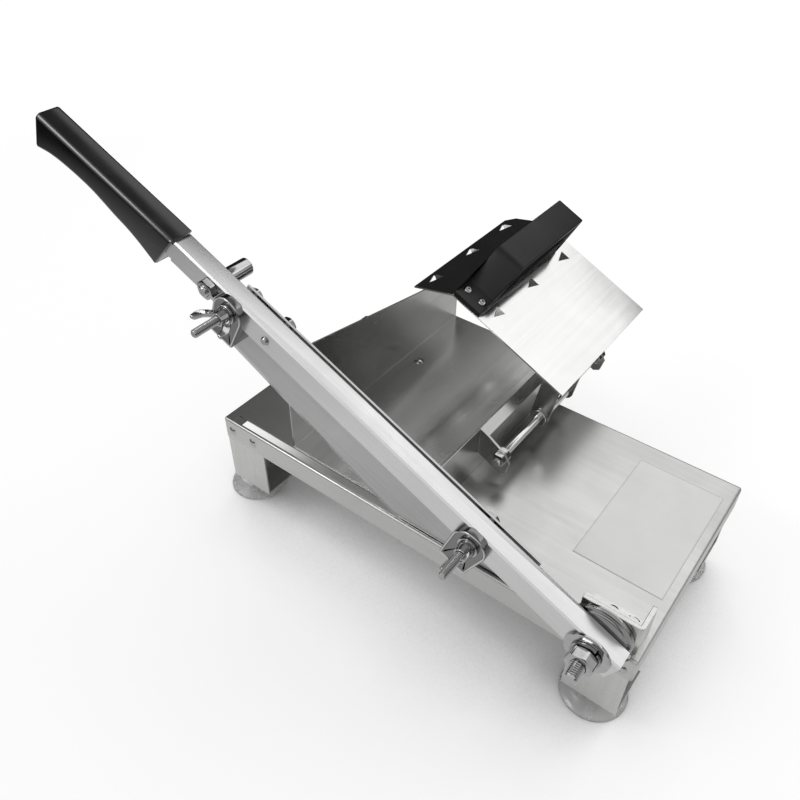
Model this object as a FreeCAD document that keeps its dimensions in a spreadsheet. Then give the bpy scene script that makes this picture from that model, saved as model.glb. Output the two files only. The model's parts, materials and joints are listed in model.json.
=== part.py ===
import FreeCAD, Part
import os
import re
import Sketcher

# Lever guillotine slicer for frozen meat.
# Working frame: X runs right along the base's front edge, Y runs back, Z runs up.
# Its corner is the front left corner of the base's top; the finished pieces are
# then shifted so that the origin is under the middle of the machine, on the bench.

# Driving dimensions in millimetres and degrees.
SIZES = {
    # Base tray: one folded sheet.
    "base_length": 350,
    "base_depth": 177,
    "sheet_gauge": 1.2,
    "flange_height": 19.5,
    "fold_radius": 2,
    # Blade slot in the tray's top and the notch round the hinge spacers.
    "slot_start": 9,
    "slot_right_margin": 50,
    "slot_clearance": 0.5,
    "notch_clearance": 2,
    # Bare film on the tray where a maker would put a label.
    "label_right_margin": 7,
    "label_front": 51,
    "label_width": 63,
    "label_depth": 107,
    "label_gauge": 0.2,
    # Legs: folded plates riveted inside the tray's flange.
    "leg_width": 39,
    "leg_inset": 2,
    "leg_drop": 43.5,
    "leg_gauge": 1.5,
    "leg_tab": 16,
    "leg_lap": 4,
    "foot_length": 38,
    # Rivets of the legs and the trough.
    "rivet_diameter": 4,
    "rivet_head": 8,
    "rivet_rise": 1.5,
    "rivet_drop": 11,
    "rivet_edge": 6,
    "rivet_spacing": 22,
    "hinge_rivet_drop": 15,
    "hinge_rivet_inset": 2,
    "trough_rivet_inset": 14,
    "trough_rivet_front": 40,
    "trough_rivet_back": 150,
    # Suction cups under the legs.
    "cup_diameter": 47,
    "cup_height": 19,
    "cup_neck": 31,
    "cup_taper": 1.5,
    "cup_skirt": 4.5,
    "cup_lip": 0.8,
    "cup_wall": 1.6,
    "cup_left_inset": 7,
    "cup_right_inset": 17.5,
    "stud_diameter": 5,
    "stud_depth": 8,
    "stud_nut_flats": 8,
    "stud_nut_height": 4,
    "thread_end": 2,
    # Hinge of the lever.
    "pivot_inset": 26.5,
    "pivot_rise": 7.7,
    "pivot_diameter": 10,
    "pivot_nut_flats": 17,
    "pivot_nut_height": 8,
    "pivot_nut_turn": 13,
    "pivot_head_height": 6.5,
    "pivot_tip": 10,
    "spacer_diameter": 41,
    "spacer_gauge": 2.15,
    "washer_diameter": 30,
    "washer_gauge": 2,
    "spring_washer_diameter": 20,
    "spring_washer_gauge": 2.5,
    "bracket_gauge": 3,
    "bracket_inset": 4,
    "bracket_width": 39,
    "bracket_height": 26,
    "bracket_return": 20,
    "bracket_foot": 21,
    "bracket_screw_diameter": 6,
    "bracket_screw_inset": 9,
    "bracket_screw_rise": 14,
    "bracket_nut_flats": 10,
    "bracket_nut_height": 5,
    "angle_drop": 2,
    "foot_screw_diameter": 5,
    "foot_screw_left": 1.5,
    "foot_screw_right": 10,
    "foot_screw_back": 12.5,
    "foot_screw_head": 8.5,
    "foot_screw_rise": 2,
    "foot_nut_flats": 8,
    "foot_nut_height": 4,
    # Lever bar, turned up at rest.
    "lever_angle": 24.4,
    "lever_height": 19,
    "lever_gauge": 14.5,
    "lever_gap": 0.5,
    "lever_tail": 18,
    "lever_shoulder": 35.5,
    "lever_edge": 1.2,
    "tang_height": 13,
    "tang_length": 112,
    # Grip over the lever's tang.
    "grip_length": 132,
    "grip_front_wall": 2.5,
    "grip_back_wall": 1.5,
    "grip_top": 11.5,
    "grip_slope": 2,
    "grip_edge": 3,
    "grip_heel": 12,
    "grip_heel_drop": 22.4,
    "grip_neck": 30,
    "grip_neck_drop": 18.4,
    "grip_belly": 52,
    "grip_belly_drop": 16.9,
    "grip_waist": 76,
    "grip_waist_drop": 13.2,
    "grip_hook": 14,
    "grip_hook_drop": 15.7,
    "grip_end_drop": 19.6,
    # Stop pin that lands on the tray.
    "stop_landing": 3,
    "stop_rise": 1,
    "stop_diameter": 12,
    "stop_length": 18.5,
    "stop_shoulder": 2,
    "stop_stud": 8,
    "stop_nut_flats": 13,
    "stop_nut_height": 5,
    # Blade behind the lever.
    "blade_gauge": 1.5,
    "blade_gap": 3.5,
    "blade_near": 52,
    "blade_end": 6,
    "blade_top": 6,
    "blade_near_depth": 77,
    "blade_far_depth": 61.6,
    "blade_corner_reach": 43,
    "blade_corner_rise": 19,
    "blade_bevel": 5,
    "blade_land": 0.2,
    "blade_spacer_diameter": 7.2,
    # Bolts that hold the blade. The near one is measured from the hinge, the far one
    # from the stop pin, and the screw from the far bolt.
    "bolt_diameter": 6,
    "bolt_gap": 20.5,
    "bolt_near": 91,
    "bolt_drop": 1.5,
    "bolt_flats": 10,
    "bolt_head": 4,
    "bolt_tip": 32,
    "screw_gap": 30,
    "screw_end": 1.5,
    # Clamp blocks under the lever.
    "clamp_radius": 12.5,
    "clamp_depth": 25.9,
    "clamp_plate": 5,
    "clamp_foot": 10.5,
    "clamp_under": 2.5,
    "clamp_dish": 0.8,
    "clamp_rim": 1.8,
    "clamp_washer_diameter": 14,
    "clamp_washer_gauge": 1.5,
    # Wing nuts.
    "wing_hub": 12,
    "wing_hub_height": 7,
    "wing_reach": 14.5,
    "wing_gauge": 3,
    "wing_flare": 10,
    "wing_tip": 5,
    "wing_bevel": 1.5,
    "wing_far_angle": 10,
    "wing_near_angle": 125,
    # Trough: one bent sheet with two ears.
    "trough_gap": 0.5,
    "trough_left": 66,
    "trough_right": 188,
    "trough_back": 225,
    "trough_high": 85.5,
    "trough_high_back": 45.9,
    "trough_cut": 5,
    "trough_low": 40,
    "lip_reach": 7,
    "lip_drop": 3.5,
    "lip_under": 0.4,
    "ear_front": 75,
    "ear_gauge": 2,
    "ear_root": 5.5,
    "ear_toe": 15,
    "ear_reach": 7.5,
    "ear_bevel": 2.5,
    # Guide rod of the pusher.
    "rod_across": 206,
    "rod_rise": 22.5,
    "rod_diameter": 6,
    "rod_overhang": 7,
    "rod_nut_flats": 10,
    "rod_nut_height": 4,
    # Sliding bush of the pusher.
    "bush_diameter": 10,
    "bush_front": 127.5,
    "bush_length": 45,
    "collar_diameter": 13,
    "collar_width": 2.3,
    # Pusher plate, cheeks and handle.
    "pusher_front": 130,
    "pusher_length": 137,
    "pusher_gauge": 1.2,
    "pusher_left": 88,
    "pusher_left_rise": 90,
    "ridge_across": 123,
    "ridge_rise": 97,
    "pusher_right": 221,
    "pusher_right_rise": 51,
    "pusher_clip": 8,
    "pusher_hem": 5,
    "pusher_hem_lean": 2,
    "tooth_base": 9,
    "tooth_length": 12.5,
    "tooth_first": 22.3,
    "tooth_pitch": 50,
    "tooth_right": 32,
    "tooth_left": 28.5,
    "cheek_gauge": 1.5,
    "cheek_radius": 7.5,
    "cheek_left": 2,
    "handle_gauge": 4,
    "handle_width": 25,
    "handle_inset": 0,
    "handle_rise": 31,
    "handle_length": 96,
    "handle_foot": 20,
    "handle_lean": 16,
    "handle_screw_diameter": 4,
    "handle_screw_head": 7,
    "handle_screw_rise": 2,
    "handle_screw_spread": 14,
    "handle_shoulder": 1.5,
    "handle_back_lean": 14,
    "handle_back_foot": 18,
    # Gaps of the fits.
    "running_clearance": 0.05,
    "hole_clearance": 0.1,
    "face_clearance": 0.1,
}

# Places worked out from the driving dimensions, in the working frame.
PLACES = {
    "pivot_across": "base_length - pivot_inset",
    "stop_reach": "pivot_across - stop_landing",
    "lever_length": "stop_reach + lever_shoulder",
    "bolt_far": "stop_reach - bolt_gap",
    "screw_reach": "bolt_far - screw_gap",
    "blade_far": "bolt_far + blade_end",
    "slot_end": "base_length - slot_right_margin",
    "label_left": "base_length - label_right_margin - label_width",
    "bracket_left": "base_length - bracket_inset - bracket_width",
    "bench_height": "-(flange_height + leg_drop + cup_height)",
    "leg_bottom": "-(flange_height + leg_drop)",
    "lever_back": "-lever_gap",
    "lever_front": "-(lever_gap + lever_gauge)",
    "blade_front": "blade_gap - lever_gap",
    "blade_back": "blade_front + blade_gauge",
    "slot_front": "blade_front - slot_clearance",
    "slot_back": "blade_back + bolt_head + slot_clearance",
    "bracket_front": "lever_back + 2 * spacer_gauge + 2 * face_clearance",
    "bracket_back": "bracket_front + bracket_gauge",
    "angle_back": "bracket_back + bracket_gauge",
    "bracket_right": "bracket_left + bracket_width",
    "notch_radius": "spacer_diameter / 2 + notch_clearance",
    "head_notch_radius": "pivot_nut_flats / sqrt(3) + slot_clearance",
    "head_notch_back": "angle_back + pivot_head_height + slot_clearance",
    "clamp_front": "lever_front - clamp_plate",
    "clamp_seat": "clamp_front + clamp_dish",
    "wing_back": "clamp_seat - clamp_washer_gauge - face_clearance",
    "washer_front": "lever_front - face_clearance - washer_gauge",
    "spring_front": "washer_front - spring_washer_gauge",
    "nut_front": "spring_front - pivot_nut_height",
    "bolt_front": "lever_front - bolt_tip",
    "trough_front": "slot_back + trough_gap",
    "ear_back": "trough_back - ear_gauge",
    "pusher_back": "pusher_front + pusher_length",
    "face_slope": "atan((ridge_rise - pusher_right_rise) / (pusher_right - ridge_across))",
    "left_slope": "atan((ridge_rise - pusher_left_rise) / (ridge_across - pusher_left))",
    "cheek_rear": "bush_front + bush_length - collar_width - 2 * running_clearance - cheek_gauge",
    "cheek_front": "bush_front + collar_width + 2 * running_clearance",
}

# Two places closer than this count as the same one, in millimetres.
NEAR = 0.01

document = FreeCAD.newDocument("slicer")
table = document.addObject("Spreadsheet::Sheet", "sizes")
pieces = []


def fill_table():
    """Write every driving dimension into the sheet under its own name."""
    for row, (name, value) in enumerate(SIZES.items(), start=1):
        table.set("A%d" % row, name.replace("_", " "))
        table.set("B%d" % row, str(value))
        table.setAlias("B%d" % row, name)
    for row, name in enumerate(("shift_right", "shift_back", "shift_up"), start=len(SIZES) + 2):
        table.set("A%d" % row, name.replace("_", " "))
        table.set("B%d" % row, "0")
        table.setAlias("B%d" % row, name)
    document.recompute()


def bound(text):
    """The expression for a formula that is written with plain size names."""

    def swap(match):
        word = match.group(0)
        if word in PLACES:
            return "(" + bound(PLACES[word]) + ")"
        if word in SIZES or word.startswith("shift_"):
            return "sizes." + word
        return word

    return re.sub(r"[a-z]+(?:_[a-z]+)*", swap, str(text))


def value_of(text):
    """The present value of a formula."""
    result = table.evalExpression(bound(text))
    return float(getattr(result, "Value", result))


def flipped(text):
    return "-(" + str(text) + ")"


PLANES = {"X": "YZ_Plane", "Y": "XZ_Plane", "Z": "XY_Plane"}


def new_body(label):
    body = document.addObject("PartDesign::Body", label)
    body.Label = label
    return body


def new_sketch(body, axis, start):
    """A sketch across the given axis, at a distance along it."""
    sketch = body.newObject("Sketcher::SketchObject", body.Name + "_sketch")
    plane = [item for item in body.Origin.OriginFeatures if item.Role == PLANES[axis]][0]
    sketch.AttachmentSupport = [(plane, "")]
    sketch.MapMode = "FlatFace"
    along = flipped(start) if axis == "Y" else start
    sketch.setExpression(".AttachmentOffset.Base.z", bound(along))
    return sketch


def pin_point(sketch, piece, place, across, up):
    """Hold one point of a sketch at two formulas."""
    for kind, text in (("DistanceX", across), ("DistanceY", up)):
        number = sketch.addConstraint(
            Sketcher.Constraint(kind, -1, 1, piece, place, value_of(text)))
        sketch.setExpression("Constraints[%d]" % number, bound(text))


def draw_outline(sketch, points):
    """A closed run of straight lines through points given as pairs of formulas."""
    spots = [FreeCAD.Vector(value_of(a), value_of(b), 0) for a, b in points]
    count = len(spots)
    lines = [Part.LineSegment(spots[i], spots[(i + 1) % count]) for i in range(count)]
    first = sketch.addGeometry(lines, False)[0]
    for i in range(count):
        following = first + (i + 1) % count
        sketch.addConstraint(Sketcher.Constraint("Coincident", first + i, 2, following, 1))
    for i, (across, up) in enumerate(points):
        pin_point(sketch, first + i, 1, across, up)


def draw_circle(sketch, centre, radius):
    circle = Part.Circle(
        FreeCAD.Vector(value_of(centre[0]), value_of(centre[1]), 0),
        FreeCAD.Vector(0, 0, 1), value_of(radius))
    number = sketch.addGeometry(circle, False)
    pin_point(sketch, number, 3, centre[0], centre[1])
    rule = sketch.addConstraint(Sketcher.Constraint("Radius", number, value_of(radius)))
    sketch.setExpression("Constraints[%d]" % rule, bound(radius))


def extrude(body, sketch, axis, length, cut):
    """Add or remove the sketched form from its plane towards the axis's positive end."""
    kind = "PartDesign::Pocket" if cut else "PartDesign::Pad"
    feature = body.newObject(kind, body.Name + ("_pocket" if cut else "_pad"))
    feature.Profile = sketch
    feature.setExpression("Length", bound(length))
    feature.Reversed = (axis == "Y") != cut
    return feature


def slab(body, axis, points, start, end, cut=False):
    sketch = new_sketch(body, axis, start)
    draw_outline(sketch, points)
    return extrude(body, sketch, axis, "(%s) - (%s)" % (end, start), cut)


def disc(body, axis, centre, radius, start, end, cut=False):
    sketch = new_sketch(body, axis, start)
    draw_circle(sketch, centre, radius)
    return extrude(body, sketch, axis, "(%s) - (%s)" % (end, start), cut)


def rectangle(left, low, right, high):
    return [(left, low), (right, low), (right, high), (left, high)]


def turned(body, points):
    """Turn an outline of radius and height pairs round the body's own Z axis."""
    sketch = new_sketch(body, "Y", "0")
    draw_outline(sketch, points)
    feature = body.newObject("PartDesign::Revolution", body.Name + "_turned")
    feature.Profile = sketch
    feature.ReferenceAxis = (sketch, ["V_Axis"])
    feature.Angle = 360
    return feature


def dress(body, kind, size, choose):
    """Round or chamfer the edges of a body that a test picks."""
    document.recompute()
    base = body.Tip
    names = ["Edge%d" % (i + 1) for i, edge in enumerate(base.Shape.Edges) if choose(edge)]
    feature = body.newObject("PartDesign::" + kind, body.Name + "_" + kind.lower())
    feature.Base = (base, names)
    feature.setExpression("Radius" if kind == "Fillet" else "Size", bound(size))
    return feature


def straight_along(edge, axis):
    """True for a straight edge that runs along the given direction."""
    if not isinstance(edge.Curve, Part.Line):
        return False
    return edge.Curve.Direction.cross(FreeCAD.Vector(*axis)).Length < NEAR


def placement_text(at, axis=(0, 1, 0), angle="0"):
    spot = "; ".join(bound(item) for item in at)
    line = "; ".join(str(item) for item in axis)
    return ("create(<<placement>>; create(<<vector>>; %s); "
            "create(<<rotation>>; create(<<vector>>; %s); %s))" % (spot, line, bound(angle)))


def place(item, at, axis=(0, 1, 0), angle="0"):
    item.setExpression("Placement", placement_text(at, axis, angle))
    return item


# Frames that pieces are modelled in. The lever's frame has its zero on the hinge axis
# and X pointing from the handle to the hinge's far side; the face frame lies on the
# pusher's right slope, with X down the slope from the ridge.
def settle(item, frame="base", extra=None):
    """Keep a finished piece and put it in its frame, with the common shift added."""
    at = {"base": ("0", "0", "0"),
          "lever": ("pivot_across", "0", "pivot_rise"),
          "face": ("ridge_across", "0", "ridge_rise")}.get(frame, frame)
    angle = {"lever": "lever_angle", "face": "face_slope"}.get(frame, extra or "0")
    shifts = ("shift_right", "shift_back", "shift_up")
    place(item, ["%s + %s" % (part, shift) for part, shift in zip(at, shifts)], (0, 1, 0), angle)
    pieces.append(item)
    return item


def along_lever(reach):
    """The lever frame's X for a distance from the hinge towards the handle."""
    return flipped(reach)


def rod_piece(name, radius, length, at, axis=(1, 0, 0), angle="-90"):
    """A plain cylinder that runs along +Y from its place, unless turned otherwise."""
    item = document.addObject("Part::Cylinder", name)
    item.setExpression("Radius", bound(radius))
    item.setExpression("Height", bound(length))
    return place(item, at, axis, angle)


def hexagon_piece(name, flats, length, at, axis=(1, 0, 0), angle="-90"):
    """A hexagonal block of the given width across flats."""
    item = document.addObject("Part::Prism", name)
    item.Polygon = 6
    item.setExpression("Circumradius", bound("(%s) / 2 / cos(30)" % flats))
    item.setExpression("Height", bound(length))
    return place(item, at, axis, angle)


def joined(name, items):
    item = document.addObject("Part::MultiFuse", name)
    item.Shapes = items
    return item


def grouped(name, items):
    item = document.addObject("Part::Compound", name)
    item.Links = items
    return item


def bored(name, outer, bore):
    item = document.addObject("Part::Cut", name)
    item.Base = outer
    item.Tool = bore
    return item


def ring_piece(name, outer, inner, length, at):
    """A washer or tube along +Y."""
    return bored(name, rod_piece(name + "_outer", outer, length, at),
                 rod_piece(name + "_bore", inner, length, at))


def nut_piece(name, flats, bore, length, at, axis=(1, 0, 0), angle="-90"):
    return bored(name, hexagon_piece(name + "_block", flats, length, at, axis, angle),
                 rod_piece(name + "_bore", bore, length, at, axis, angle))


def dome_piece(name):
    """A rivet's low dome, cut from a ball that is sunk until only the dome stands up."""
    ball = document.addObject("Part::Sphere", name)
    ball.setExpression("Radius", bound("(rivet_head^2 / 4 + rivet_rise^2) / (2 * rivet_rise)"))
    ball.setExpression("Angle1", bound(
        "asin((rivet_head^2 / 4 - rivet_rise^2) / (rivet_head^2 / 4 + rivet_rise^2))"))
    ball.Angle2 = 90
    sunk = "-(rivet_head^2 / 4 - rivet_rise^2) / (2 * rivet_rise)"
    return place(ball, ("0", "0", sunk), (0, 0, 1))


def make_base_tray():
    body = new_body("base_tray")
    slab(body, "Z", rectangle("0", "0", "base_length", "base_depth"), "-flange_height", "0")
    dress(body, "Fillet", "fold_radius", lambda edge:
          edge.BoundBox.ZMin > -NEAR or straight_along(edge, (0, 0, 1)))
    slab(body, "Z", rectangle("sheet_gauge", "sheet_gauge", "base_length - sheet_gauge",
                              "base_depth - sheet_gauge"),
         "-flange_height", "-sheet_gauge", cut=True)
    slab(body, "Z", rectangle("slot_start", "slot_front", "slot_end", "slot_back"),
         "-2 * sheet_gauge", "0", cut=True)
    disc(body, "Y", ("pivot_across", "pivot_rise"), "notch_radius", "-sheet_gauge",
         "bracket_front + face_clearance", cut=True)
    for side, depth in (("front", "-1"), ("rear", "base_depth - 2 * sheet_gauge")):
        for across, up in leg_rivet_spots(side):
            disc(body, "Y", (across, up), "rivet_diameter / 2 + hole_clearance",
                 depth, depth + " + 3 * sheet_gauge", cut=True)
    for across, back in trough_rivet_spots():
        disc(body, "Z", (across, back), "rivet_diameter / 2 + hole_clearance",
             "-2 * sheet_gauge", "0", cut=True)
    disc(body, "Y", ("pivot_across", "pivot_rise"), "head_notch_radius", "angle_back",
         "head_notch_back", cut=True)
    for across, back in foot_screw_spots():
        disc(body, "Z", (across, back), "foot_screw_diameter / 2 + hole_clearance",
             "-2 * sheet_gauge", "0", cut=True)
    settle(body)


def make_blank_label():
    body = new_body("blank_label")
    slab(body, "Z", rectangle("label_left", "label_front", "label_left + label_width",
                              "label_front + label_depth"), "0", "label_gauge")
    settle(body)


def leg_rivet_spots(side, ends=("left", "right")):
    """Places across and up of the rivets on one long side of the tray."""
    spots = []
    if "left" in ends:
        spots.append(("leg_inset + rivet_edge", "-rivet_drop"))
        spots.append(("leg_inset + rivet_edge + rivet_spacing", "-rivet_drop"))
    if "right" in ends and side == "front":
        spots.append(("base_length - leg_inset - rivet_edge", "-rivet_drop - rivet_rise"))
        spots.append(("base_length - leg_inset - leg_width + hinge_rivet_inset",
                      "-hinge_rivet_drop"))
    if "right" in ends and side == "rear":
        spots.append(("base_length - leg_inset - rivet_edge", "-rivet_drop"))
        spots.append(("base_length - leg_inset - rivet_edge - rivet_spacing", "-rivet_drop"))
    return spots


def leg_left(end):
    return "leg_inset" if end == "left" else "base_length - leg_inset - leg_width"


def foot_centre(side, end):
    """Place across and back of a suction cup's stud in a leg's foot."""
    back = "foot_length / 2" if side == "front" else "base_depth - foot_length / 2"
    return (leg_left(end) + " + cup_%s_inset" % end, back)


def depth_pair(side, near, far):
    """Two depths measured inwards from one long side of the tray, in rising order."""
    if side == "front":
        return near, far
    return "base_depth - (%s)" % far, "base_depth - (%s)" % near


def make_leg(side, end):
    body = new_body("leg_%s_%s" % (side, end))
    left = leg_left(end)
    right = left + " + leg_width"
    near, far = depth_pair(side, "0", "leg_gauge")
    slab(body, "Y", rectangle(left, "leg_bottom", right, "-flange_height - face_clearance"),
         near, far)
    near, far = depth_pair(side, "sheet_gauge", "sheet_gauge + leg_gauge")
    slab(body, "Y", rectangle(left, "-flange_height - leg_lap", right,
                              "leg_tab - flange_height"), near, far)
    near, far = depth_pair(side, "0", "foot_length")
    slab(body, "Z", rectangle(left, near, right, far), "leg_bottom", "leg_bottom + leg_gauge")
    across, back = foot_centre(side, end)
    disc(body, "Z", (across, back), "stud_diameter / 2 + hole_clearance",
         "leg_bottom", "leg_bottom + leg_gauge", cut=True)
    near, far = depth_pair(side, "sheet_gauge", "sheet_gauge + leg_gauge")
    for across, up in leg_rivet_spots(side, (end,)):
        disc(body, "Y", (across, up), "rivet_diameter / 2 + hole_clearance", near, far, cut=True)
    if side == "front" and end == "right":
        disc(body, "Y", ("pivot_across", "pivot_rise"), "notch_radius", near, far, cut=True)
    settle(body)


def rivet_solid(name, across, back, up, length, axis, angle):
    """A domed rivet whose head sits at the given place and whose shank runs on from it."""
    shank = rod_piece(name + "_shank", "rivet_diameter / 2", length,
                      ("0", "0", flipped(length)), (0, 0, 1), "0")
    whole = joined(name, [dome_piece(name + "_dome"), shank])
    return place(whole, (across, back, up), axis, angle)


def make_leg_rivets():
    rivets = []
    for side in ("front", "rear"):
        back = "0" if side == "front" else "base_depth"
        angle = "90" if side == "front" else "-90"
        for number, (across, up) in enumerate(leg_rivet_spots(side)):
            name = "leg_rivet_%s_%d" % (side, number)
            rivets.append(rivet_solid(name, across, back, up, "sheet_gauge + leg_gauge",
                                      (1, 0, 0), angle))
    settle(grouped("leg_rivets", rivets))


def make_suction_cup(side, end):
    body = new_body("suction_cup_%s_%s" % (side, end))
    turned(body, [
        ("0", "cup_height"), ("cup_neck / 2 - cup_taper", "cup_height"),
        ("cup_neck / 2", "cup_skirt + cup_wall"), ("cup_neck / 2 + cup_wall", "cup_skirt"),
        ("cup_diameter / 2", "cup_lip"), ("cup_diameter / 2", "0"),
        ("cup_diameter / 2 - cup_wall", "0"), ("cup_neck / 2", "cup_skirt - cup_wall"),
        ("0", "cup_skirt")])
    disc(body, "Z", ("0", "0"), "stud_diameter / 2 + hole_clearance",
         "cup_height - stud_depth", "cup_height", cut=True)
    across, back = foot_centre(side, end)
    settle(body, (across, back, "bench_height"))


def make_cup_studs():
    studs = []
    for side in ("front", "rear"):
        for end in ("left", "right"):
            across, back = foot_centre(side, end)
            studs.append(rod_piece(
                "cup_stud_%s_%s" % (side, end), "stud_diameter / 2",
                "stud_depth + leg_gauge + stud_nut_height + thread_end",
                (across, back, "leg_bottom - stud_depth"), (0, 0, 1), "0"))
    settle(grouped("cup_studs", studs))


def make_cup_nuts():
    nuts = []
    for side in ("front", "rear"):
        for end in ("left", "right"):
            across, back = foot_centre(side, end)
            nuts.append(nut_piece(
                "cup_nut_%s_%s" % (side, end), "stud_nut_flats",
                "stud_diameter / 2 + hole_clearance", "stud_nut_height",
                (across, back, "leg_bottom + leg_gauge"), (0, 0, 1), "0"))
    settle(grouped("cup_nuts", nuts))


def make_pivot_bracket():
    body = new_body("pivot_bracket")
    slab(body, "Z", [
        ("bracket_left", "bracket_front"), ("bracket_right", "bracket_front"),
        ("bracket_right", "bracket_front + bracket_return"),
        ("bracket_right - bracket_gauge", "bracket_front + bracket_return"),
        ("bracket_right - bracket_gauge", "bracket_back"), ("bracket_left", "bracket_back")],
        "0", "bracket_height")
    disc(body, "Y", ("pivot_across", "pivot_rise"), "pivot_diameter / 2 + hole_clearance",
         "bracket_front", "bracket_back", cut=True)
    disc(body, "Y", bracket_screw_spot(), "bracket_screw_diameter / 2 + hole_clearance",
         "bracket_front", "bracket_back", cut=True)
    dress(body, "Fillet", "bracket_gauge", lambda edge:
          straight_along(edge, (0, 0, 1)) and edge.BoundBox.XMax > value_of("bracket_right") - NEAR
          and edge.BoundBox.YMin < value_of("bracket_front") + NEAR)
    settle(body)


def bracket_screw_spot():
    return ("bracket_right - bracket_screw_inset", "bracket_screw_rise")


def foot_screw_spots():
    back = "angle_back + foot_screw_back"
    return [("pivot_across - foot_screw_left", back), ("bracket_right - foot_screw_right", back)]


def make_pivot_angle():
    body = new_body("pivot_angle")
    right = "bracket_right - bracket_gauge - face_clearance"
    slab(body, "X", [
        ("bracket_back", "0"), ("bracket_back + bracket_foot", "0"),
        ("bracket_back + bracket_foot", "bracket_gauge"), ("angle_back", "bracket_gauge"),
        ("angle_back", "bracket_height - angle_drop"), ("bracket_back", "bracket_height - angle_drop")],
        "bracket_left", right)
    disc(body, "Y", ("pivot_across", "pivot_rise"), "pivot_diameter / 2 + hole_clearance",
         "bracket_back", "angle_back", cut=True)
    disc(body, "Y", bracket_screw_spot(), "bracket_screw_diameter / 2 + hole_clearance",
         "bracket_back", "angle_back", cut=True)
    disc(body, "Y", ("pivot_across", "pivot_rise"), "head_notch_radius", "angle_back",
         "head_notch_back", cut=True)
    for across, back in foot_screw_spots():
        disc(body, "Z", (across, back), "foot_screw_diameter / 2 + hole_clearance",
             "0", "bracket_gauge", cut=True)
    settle(body)


def on_pivot(depth):
    return ("pivot_across", depth, "pivot_rise")


def make_pivot_bolt():
    tip = "nut_front - pivot_tip"
    shank = rod_piece("pivot_bolt_shank", "pivot_diameter / 2",
                      "angle_back - (%s)" % tip, on_pivot(tip))
    block = hexagon_piece("pivot_bolt_head", "pivot_nut_flats", "pivot_head_height",
                          on_pivot("angle_back"))
    settle(joined("pivot_bolt", [shank, block]))


def make_pivot_stack():
    bore = "pivot_diameter / 2 + hole_clearance"
    settle(ring_piece("pivot_washer_front", "washer_diameter / 2", bore, "washer_gauge",
                      on_pivot("washer_front")))
    settle(ring_piece("pivot_spring_washer", "spring_washer_diameter / 2", bore,
                      "spring_washer_gauge", on_pivot("spring_front")))
    nut = nut_piece("pivot_nut", "pivot_nut_flats", bore, "pivot_nut_height",
                    ("0", "nut_front", "0"))
    settle(nut, ("pivot_across", "0", "pivot_rise"), "-pivot_nut_turn")
    spacers = [ring_piece("pivot_spacer_%d" % i, "spacer_diameter / 2", bore, "spacer_gauge",
                          on_pivot("lever_back + face_clearance + %d * spacer_gauge" % i))
               for i in (0, 1)]
    settle(grouped("pivot_spacers", spacers))


def make_bracket_fasteners():
    across, up = bracket_screw_spot()
    bar = rod_piece("bracket_screw_bar", "bracket_screw_diameter / 2",
                    "angle_back - bracket_front + bracket_nut_height + thread_end",
                    (across, "bracket_front", up))
    settle(grouped("bracket_screw", [bar]))
    settle(nut_piece("bracket_nut", "bracket_nut_flats",
                     "bracket_screw_diameter / 2 + hole_clearance", "bracket_nut_height",
                     (across, "angle_back", up)))
    below = "sheet_gauge + foot_nut_height + thread_end"
    screws = []
    nuts = []
    for number, (spot, back) in enumerate(foot_screw_spots()):
        shank = rod_piece("foot_screw_shank_%d" % number, "foot_screw_diameter / 2",
                          "bracket_gauge + " + below,
                          (spot, back, flipped(below)), (0, 0, 1), "0")
        head = rod_piece("foot_screw_head_%d" % number, "foot_screw_head / 2",
                         "foot_screw_rise", (spot, back, "bracket_gauge"), (0, 0, 1), "0")
        screws.append(joined("foot_screw_%d" % number, [shank, head]))
        nuts.append(nut_piece("foot_nut_%d" % number, "foot_nut_flats",
                              "foot_screw_diameter / 2 + hole_clearance", "foot_nut_height",
                              (spot, back, "-sheet_gauge - foot_nut_height"), (0, 0, 1), "0"))
    settle(grouped("foot_screws", screws))
    settle(grouped("foot_nuts", nuts))


def make_lever_bar():
    body = new_body("lever_bar")
    half = "lever_height / 2"
    tang = "tang_height / 2"
    outline = [("lever_tail", flipped(half)), ("lever_tail", half),
               (along_lever("lever_length"), half), (along_lever("lever_length"), tang),
               (along_lever("lever_length + tang_length"), tang),
               (along_lever("lever_length + tang_length"), flipped(tang)),
               (along_lever("lever_length"), flipped(tang)),
               (along_lever("lever_length"), flipped(half))]
    slab(body, "Y", outline, "lever_front", "lever_back")
    dress(body, "Chamfer", "lever_edge", lambda edge:
          straight_along(edge, (1, 0, 0)) and edge.Length > value_of("lever_length"))
    disc(body, "Y", ("0", "0"), "pivot_diameter / 2 + running_clearance",
         "lever_front", "lever_back", cut=True)
    disc(body, "Y", (along_lever("stop_reach"), "stop_rise"), "stop_stud / 2 + hole_clearance",
         "lever_front", "lever_back", cut=True)
    for reach, drop in bolt_spots():
        disc(body, "Y", (along_lever(reach), drop), "bolt_diameter / 2 + hole_clearance",
             "lever_front", "lever_back", cut=True)
    settle(body, "lever")


def wing_bolt_spots():
    return [("bolt_far", "-bolt_drop"), ("bolt_near", "-bolt_drop")]


def bolt_spots():
    return wing_bolt_spots() + [("screw_reach", "0")]


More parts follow.
